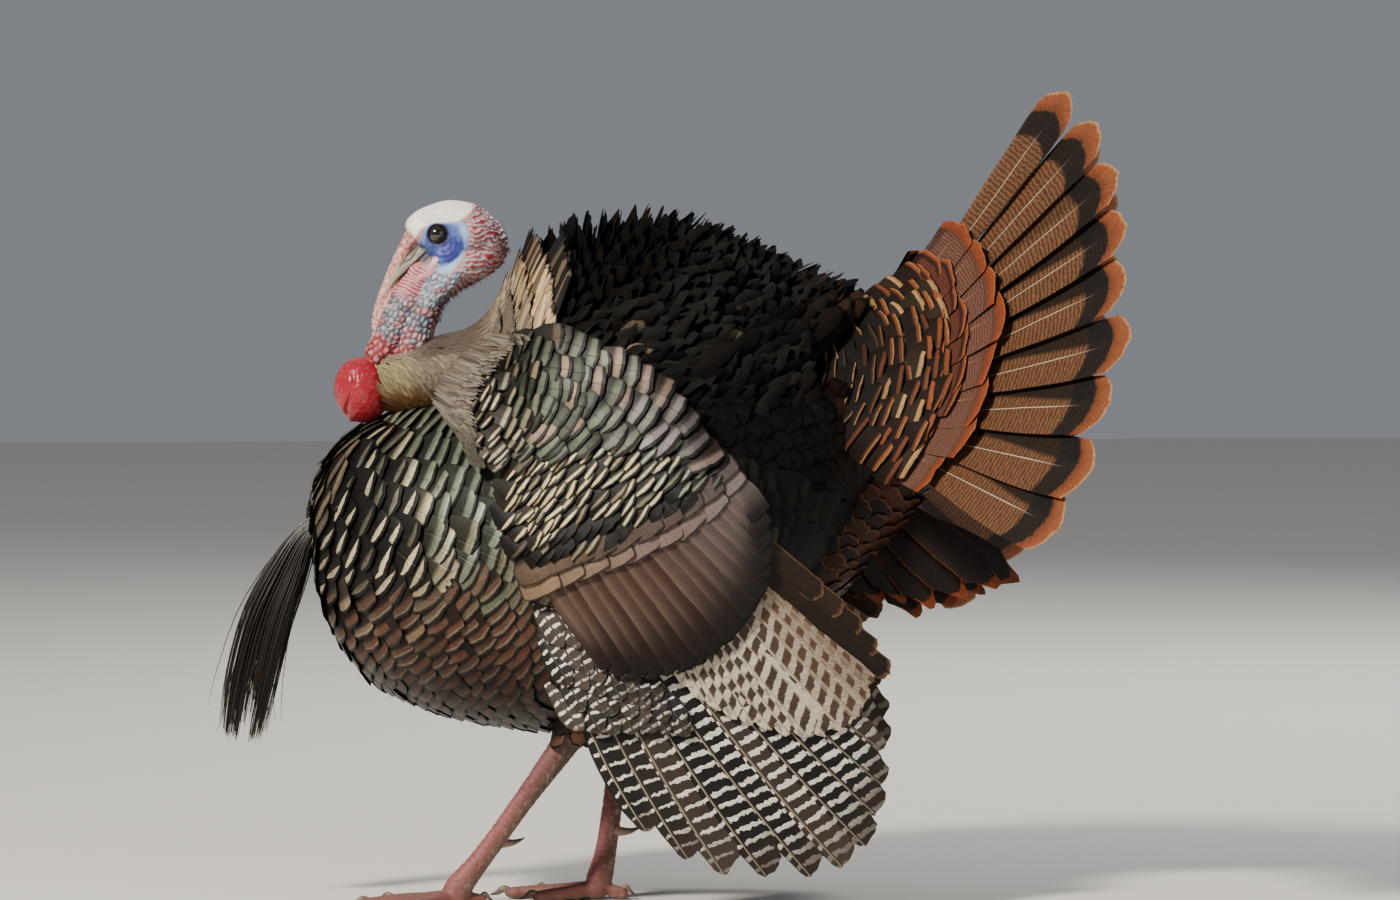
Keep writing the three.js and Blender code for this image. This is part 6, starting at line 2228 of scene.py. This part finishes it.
def layRumpSides():
    # the dark flank between the wing, the back and the tail
    rng = np.random.default_rng(101)
    spot, out, lie, turn = trunkTract(13.0, 20.0, start=200, end=720, seed=12)
    x, y, z = spot.T
    kept = (x > 70) & (z > 300) & ~onBack(x, z, turn) & (x < 306) & (np.abs(y) > 12)
    kept &= ~(inside(wingCover, x, z) & (x < 90))
    spot, out, lie = pickRows(kept, spot, out, lie)
    x, y, z = spot.T
    count = len(spot)
    wish = unit(vec(1 + 0 * x, 0 * x, -0.35 + 0 * x))
    lie = flattened(wish, out)
    chestnut = ease(210, 300, x) * rng.random(count) * 0.8
    plume = mixTint("#0d0b09", "#4a2a1c", chestnut)
    shape = dict(darkPlume, held=0.85, slope=0.2)
    vane = bodyVanes(spot - out * 5, lie, out, 66 * rng.uniform(0.9, 1.15, count),
                     27 * rng.uniform(0.85, 1.15, count), shape, rng)
    painted(vane, plume, plume * 0.8, nearBlack, 0.07)
    makeFeathers("rumpFeathers", vane, plumeFinish("dark rump feather", {"metal": 0.03, "specular": 0.08}))


def layTailUnderside():
    # pointed feathers that show below the tail
    rng = np.random.default_rng(104)
    tips = np.array([(424, 318, 24), (388, 304, 14), (356, 292, 6), (322, 286, -4), (286, 300, -12),
                     (404, 322, -30), (368, 306, -26), (336, 296, -22), (302, 298, -20)], float)[:, (0, 2, 1)]
    root = np.array((212.0, 0.0, 452.0))
    lie = unit(tips - root)
    out = unit(np.cross(lie, (0, 1.0, 0)) * 0.35 + np.array((0.0, -1.0, 0.0)))
    count = len(tips)
    shape = {"held": 1.0, "slope": 0.0, "cup": 0.2, "corner": 0.4, "tipRound": 0.16, "bend": 1 / 900, "roll": 0,
             "rollJitter": 6, "jitter": 2, "thick": 1.0, "rootWidth": 0.5, "ragged": 0.01}
    vane = bodyVanes(tips, lie, out, rng.uniform(130, 165, count), 40 * rng.uniform(0.9, 1.1, count), shape, rng)
    plume = np.broadcast_to(tint("#1d1511"), (count, 3)) * rng.uniform(0.7, 1.4, (count, 1))
    painted(vane, plume, plume * 0.8, "#6e3519", 0.07)
    makeFeathers("longUndertailFeathers", vane, plumeFinish("long undertail feather", {
        "metal": 0.0, "sideStart": 0.47, "rootShadeEnd": 0.3}))


layThighs()
layUndertail()
layTailUnderside()
layRumpSides()
print("thigh, undertail and rump feathers laid")


# beard

beard = {
    "strands": 430, "sections": 15, "root": 0.95, "tip": 0.22, "stray": 0.05,
    "line": [(-272, 390, 5, 7), (-296, 366, 13, 10), (-313, 332, 21, 12), (-333, 284, 26, 14), (-348, 226, 26, 14),
             (-356, 182, 23, 12), (-360, 158, 19, 9)],
}


def layBeard():
    rng = np.random.default_rng(111)
    steps = 200
    line = splinePoints(beard["line"], steps)
    flat = unit(vec(np.gradient(line[:, 0]), np.gradient(line[:, 1])))
    normal = vec(-flat[:, 1], flat[:, 0])
    count, sections = beard["strands"], beard["sections"]
    angle = rng.uniform(0, 2 * math.pi, count)
    radius = np.sqrt(rng.uniform(0, 1, count))
    a, b = np.cos(angle) * radius, np.sin(angle) * radius
    # two lobes with a notch between them
    lobe = np.where(a > 0.1, 0.06, -0.06)
    longest = np.where(np.abs(a - 0.1) < 0.22, 0.84, 0.97) - 0.06 * radius ** 2
    end = longest * rng.uniform(0.8, 1.02, count)
    t = np.linspace(0, 1, sections)[None] * end[:, None]
    far = np.clip(t * (steps - 1), 0, steps - 1)

    def read(column):
        return np.interp(far.ravel(), np.arange(steps), column).reshape(far.shape)

    clump = 0.12 * np.sin(angle * 5)[:, None] * t
    aAt = a[:, None] * (1 + clump) + lobe[:, None] * t ** 2
    bAt = b[:, None] * (1 + clump)
    stray = (rng.random(count) < beard["stray"])[:, None] * t ** 2
    wave = (rng.normal(0, 1.2, (count, 1)) * np.sin(t * rng.uniform(2, 7, (count, 1)) + rng.uniform(0, 6, (count, 1))))
    shiftIn = aAt * read(line[:, 2]) + wave + stray * rng.normal(0, 16, (count, 1))
    x = read(line[:, 0]) + read(normal[:, 0]) * shiftIn
    z = read(line[:, 1]) + read(normal[:, 1]) * shiftIn
    y = bAt * read(line[:, 3]) + 0.6 * wave + stray * rng.normal(0, 10, (count, 1))
    path = vec(x, y, z)
    ahead = unit(np.gradient(path, axis=1))
    side = unit(np.cross(ahead, np.array((0.3, 0.9, 0.2))))
    top = np.cross(ahead, side)
    thick = (lerp(beard["root"], beard["tip"], np.linspace(0, 1, sections) ** 1.5))[None, :, None]
    corners = [path + (side * math.cos(k * thirdTurn) + top * math.sin(k * thirdTurn)) * thick for k in range(3)]
    verts = np.stack(corners, 2).reshape(-1, 3)
    base = (np.arange(count) * sections * 3)[:, None, None]
    ring = (np.arange(sections - 1) * 3)[None, :, None]
    faces = []
    for k in range(3):
        n = (k + 1) % 3
        faces.append(vec(base + ring + k, base + ring + n, base + ring + 3 + n, base + ring + 3 + k).reshape(-1, 4))
    first = np.arange(count) * sections * 3
    last = first + (sections - 1) * 3
    caps = np.concatenate((vec(first + 2, first + 1, first), vec(last, last + 1, last + 2)))
    quads = np.concatenate(faces)
    # outward faces
    p, q, r = (verts[quads[0, k]] for k in range(3))
    if np.dot(np.cross(q - p, r - p), (p + r) / 2 - path[0, 0]) < 0:
        quads, caps = quads[:, ::-1], caps[:, ::-1]
    along = np.repeat(np.linspace(0, 1, sections)[None], count, 0)
    along = np.repeat(along[..., None], 3, -1).ravel()
    seed = np.repeat(rng.random(count), sections * 3)
    corner, cell = bakeCells(count, 6.0)
    cornerAt = np.repeat(corner, sections * 3, 0)
    part = np.tile(np.arange(3) / 2, count * sections)
    bake = cornerAt + vec(0.1 + 0.8 * part, 0.05 + 0.9 * along) * cell
    finish = Finish("beard bristle", specular=0.5)
    colour = finish.mix(finish.dial("seed"), "#0c0a09", "#231a16")
    colour = finish.mix(finish.between(finish.dial("along"), 0.75, 1.0, 0, 0.5), colour, "#3a2a20")
    material = finish.done(colour, 0.42, 0.0)
    makePiece("beardBristles", verts, [quads, caps], material, ("beard",), {"OFBake": bake},
              values={"seed": seed, "along": along})


layBeard()
print("beard laid")


def layBristles():
    # short dark hairs along the nape's ridges
    verts, normals = readMesh(headMesh)
    rng = np.random.default_rng(121)
    low = ease(640, 600, verts[:, 2]) + ease(-100, -84, verts[:, 0])
    chance = bristleZone * (0.12 + low)
    picked = rng.choice(len(verts), 420, replace=False, p=chance / chance.sum())
    root, out = verts[picked], normals[picked]
    lean = unit(out + np.array((0.45, 0, -0.7)) + rng.normal(0, 0.25, out.shape))
    long = rng.uniform(1.6, 4.2, len(picked))[:, None]
    side = unit(np.cross(lean, np.array((0.2, 1.0, 0.1))))
    top = np.cross(lean, side)
    rings = []
    for t, radius in ((-0.15, 0.22), (0.5, 0.17), (1.0, 0.04)):
        middle = root + lean * long * t + np.array((0, 0, -0.35)) * long * t ** 2
        rings.append(np.stack([middle + (side * math.cos(k * thirdTurn) + top * math.sin(k * thirdTurn))
                               * radius for k in range(3)], 1))
    verts = np.stack(rings, 1).reshape(-1, 3)
    base = (np.arange(len(picked)) * 9)[:, None]
    quads = np.concatenate([base + np.array((r * 3 + k, r * 3 + (k + 1) % 3, r * 3 + 3 + (k + 1) % 3,
                                             r * 3 + 3 + k)) for r in range(2) for k in range(3)])
    caps = np.concatenate((base + np.array((2, 1, 0)), base + np.array((6, 7, 8))))
    p, q, r = (verts[quads[0, k]] for k in range(3))
    if np.dot(np.cross(q - p, r - p), (p + r) / 2 - root[0]) < 0:
        quads, caps = quads[:, ::-1], caps[:, ::-1]
    corner, cell = bakeCells(len(picked), 3.0)
    bake = (np.repeat(corner, 9, 0) + np.tile(vec(np.tile(np.arange(3) / 3, 3), np.repeat(np.arange(3) / 3, 3))
                                              * 0.8 + 0.1, (len(picked), 1)) * cell)
    finish = Finish("head bristle", specular=0.4, colour=paint("#17100f"), roughness=0.5)
    makePiece("headBristles", verts, [quads, caps], finish.material, uvs={"OFBake": bake})


layBristles()


# light, floor and camera

studio = {
    "target": (100.0, 0.0, 452.0), "away": 10.0, "azimuth": -4.0, "elevation": 3.0, "frameWidth": 1.4,
    "floor": "#d9d6d0",
}


def layStudio():
    world = bpy.data.worlds.new("studio air")
    bpy.context.scene.world = world
    world.use_nodes = True
    background = world.node_tree.nodes["Background"]
    background.inputs[0].default_value = (0.86, 0.9, 1.0, 1.0)
    background.inputs[1].default_value = 0.25
    floorFinish = Finish("pale studio floor", roughness=0.9, specular=0.2)
    grain = floorFinish.noise(floorFinish.solidPlace(), 40.0, 3.0)
    floorFinish.done(floorFinish.mix(floorFinish.between(grain, 0.3, 0.7, 0.0, 0.12), studio["floor"], "#cfccc6"))
    size = 9.0
    mesh = bpy.data.meshes.new("studioFloor")
    mesh.from_pydata([(-size, -size, 0), (size, -size, 0), (size, size, 0), (-size, size, 0)], [], [(0, 1, 2, 3)])
    mesh.materials.append(floorFinish.material)
    floor = placed("studioFloor", mesh)
    lamps = [("keyLamp", (-2.7, -3.0, 3.3), 0.7, 420, (1.0, 0.93, 0.83)),
             ("fillLamp", (2.6, -3.6, 1.6), 2.6, 20, (0.86, 0.92, 1.0)),
             ("rimLamp", (1.6, 3.2, 2.8), 1.6, 120, (1.0, 0.97, 0.92))]
    for name, place, size, power, colour in lamps:
        light = bpy.data.lights.new(name, "AREA")
        light.shape = "DISK"
        light.size = size
        light.energy = power
        light.color = colour
        lamp = placed(name, light)
        lamp.location = place
        aim = Vector((0.0, 0.0, 0.42)) - Vector(place)
        lamp.rotation_euler = aim.to_track_quat("-Z", "Y").to_euler()


def layCamera():
    azimuth, elevation = math.radians(studio["azimuth"]), math.radians(studio["elevation"])
    away = Vector((math.sin(azimuth) * math.cos(elevation), -math.cos(azimuth) * math.cos(elevation),
                   math.sin(elevation)))
    target = Vector(np.array(studio["target"]) / 1000 + shift)
    view = bpy.data.cameras.new("studioCamera")
    view.sensor_width = 36.0
    view.lens = 36.0 * studio["away"] / studio["frameWidth"]
    view.clip_end = 60.0
    camera = placed("studioCamera", view)
    camera.location = target + away * studio["away"]
    camera.rotation_euler = (-away).to_track_quat("-Z", "Y").to_euler()
    bpy.context.scene.camera = camera


layStudio()
layCamera()
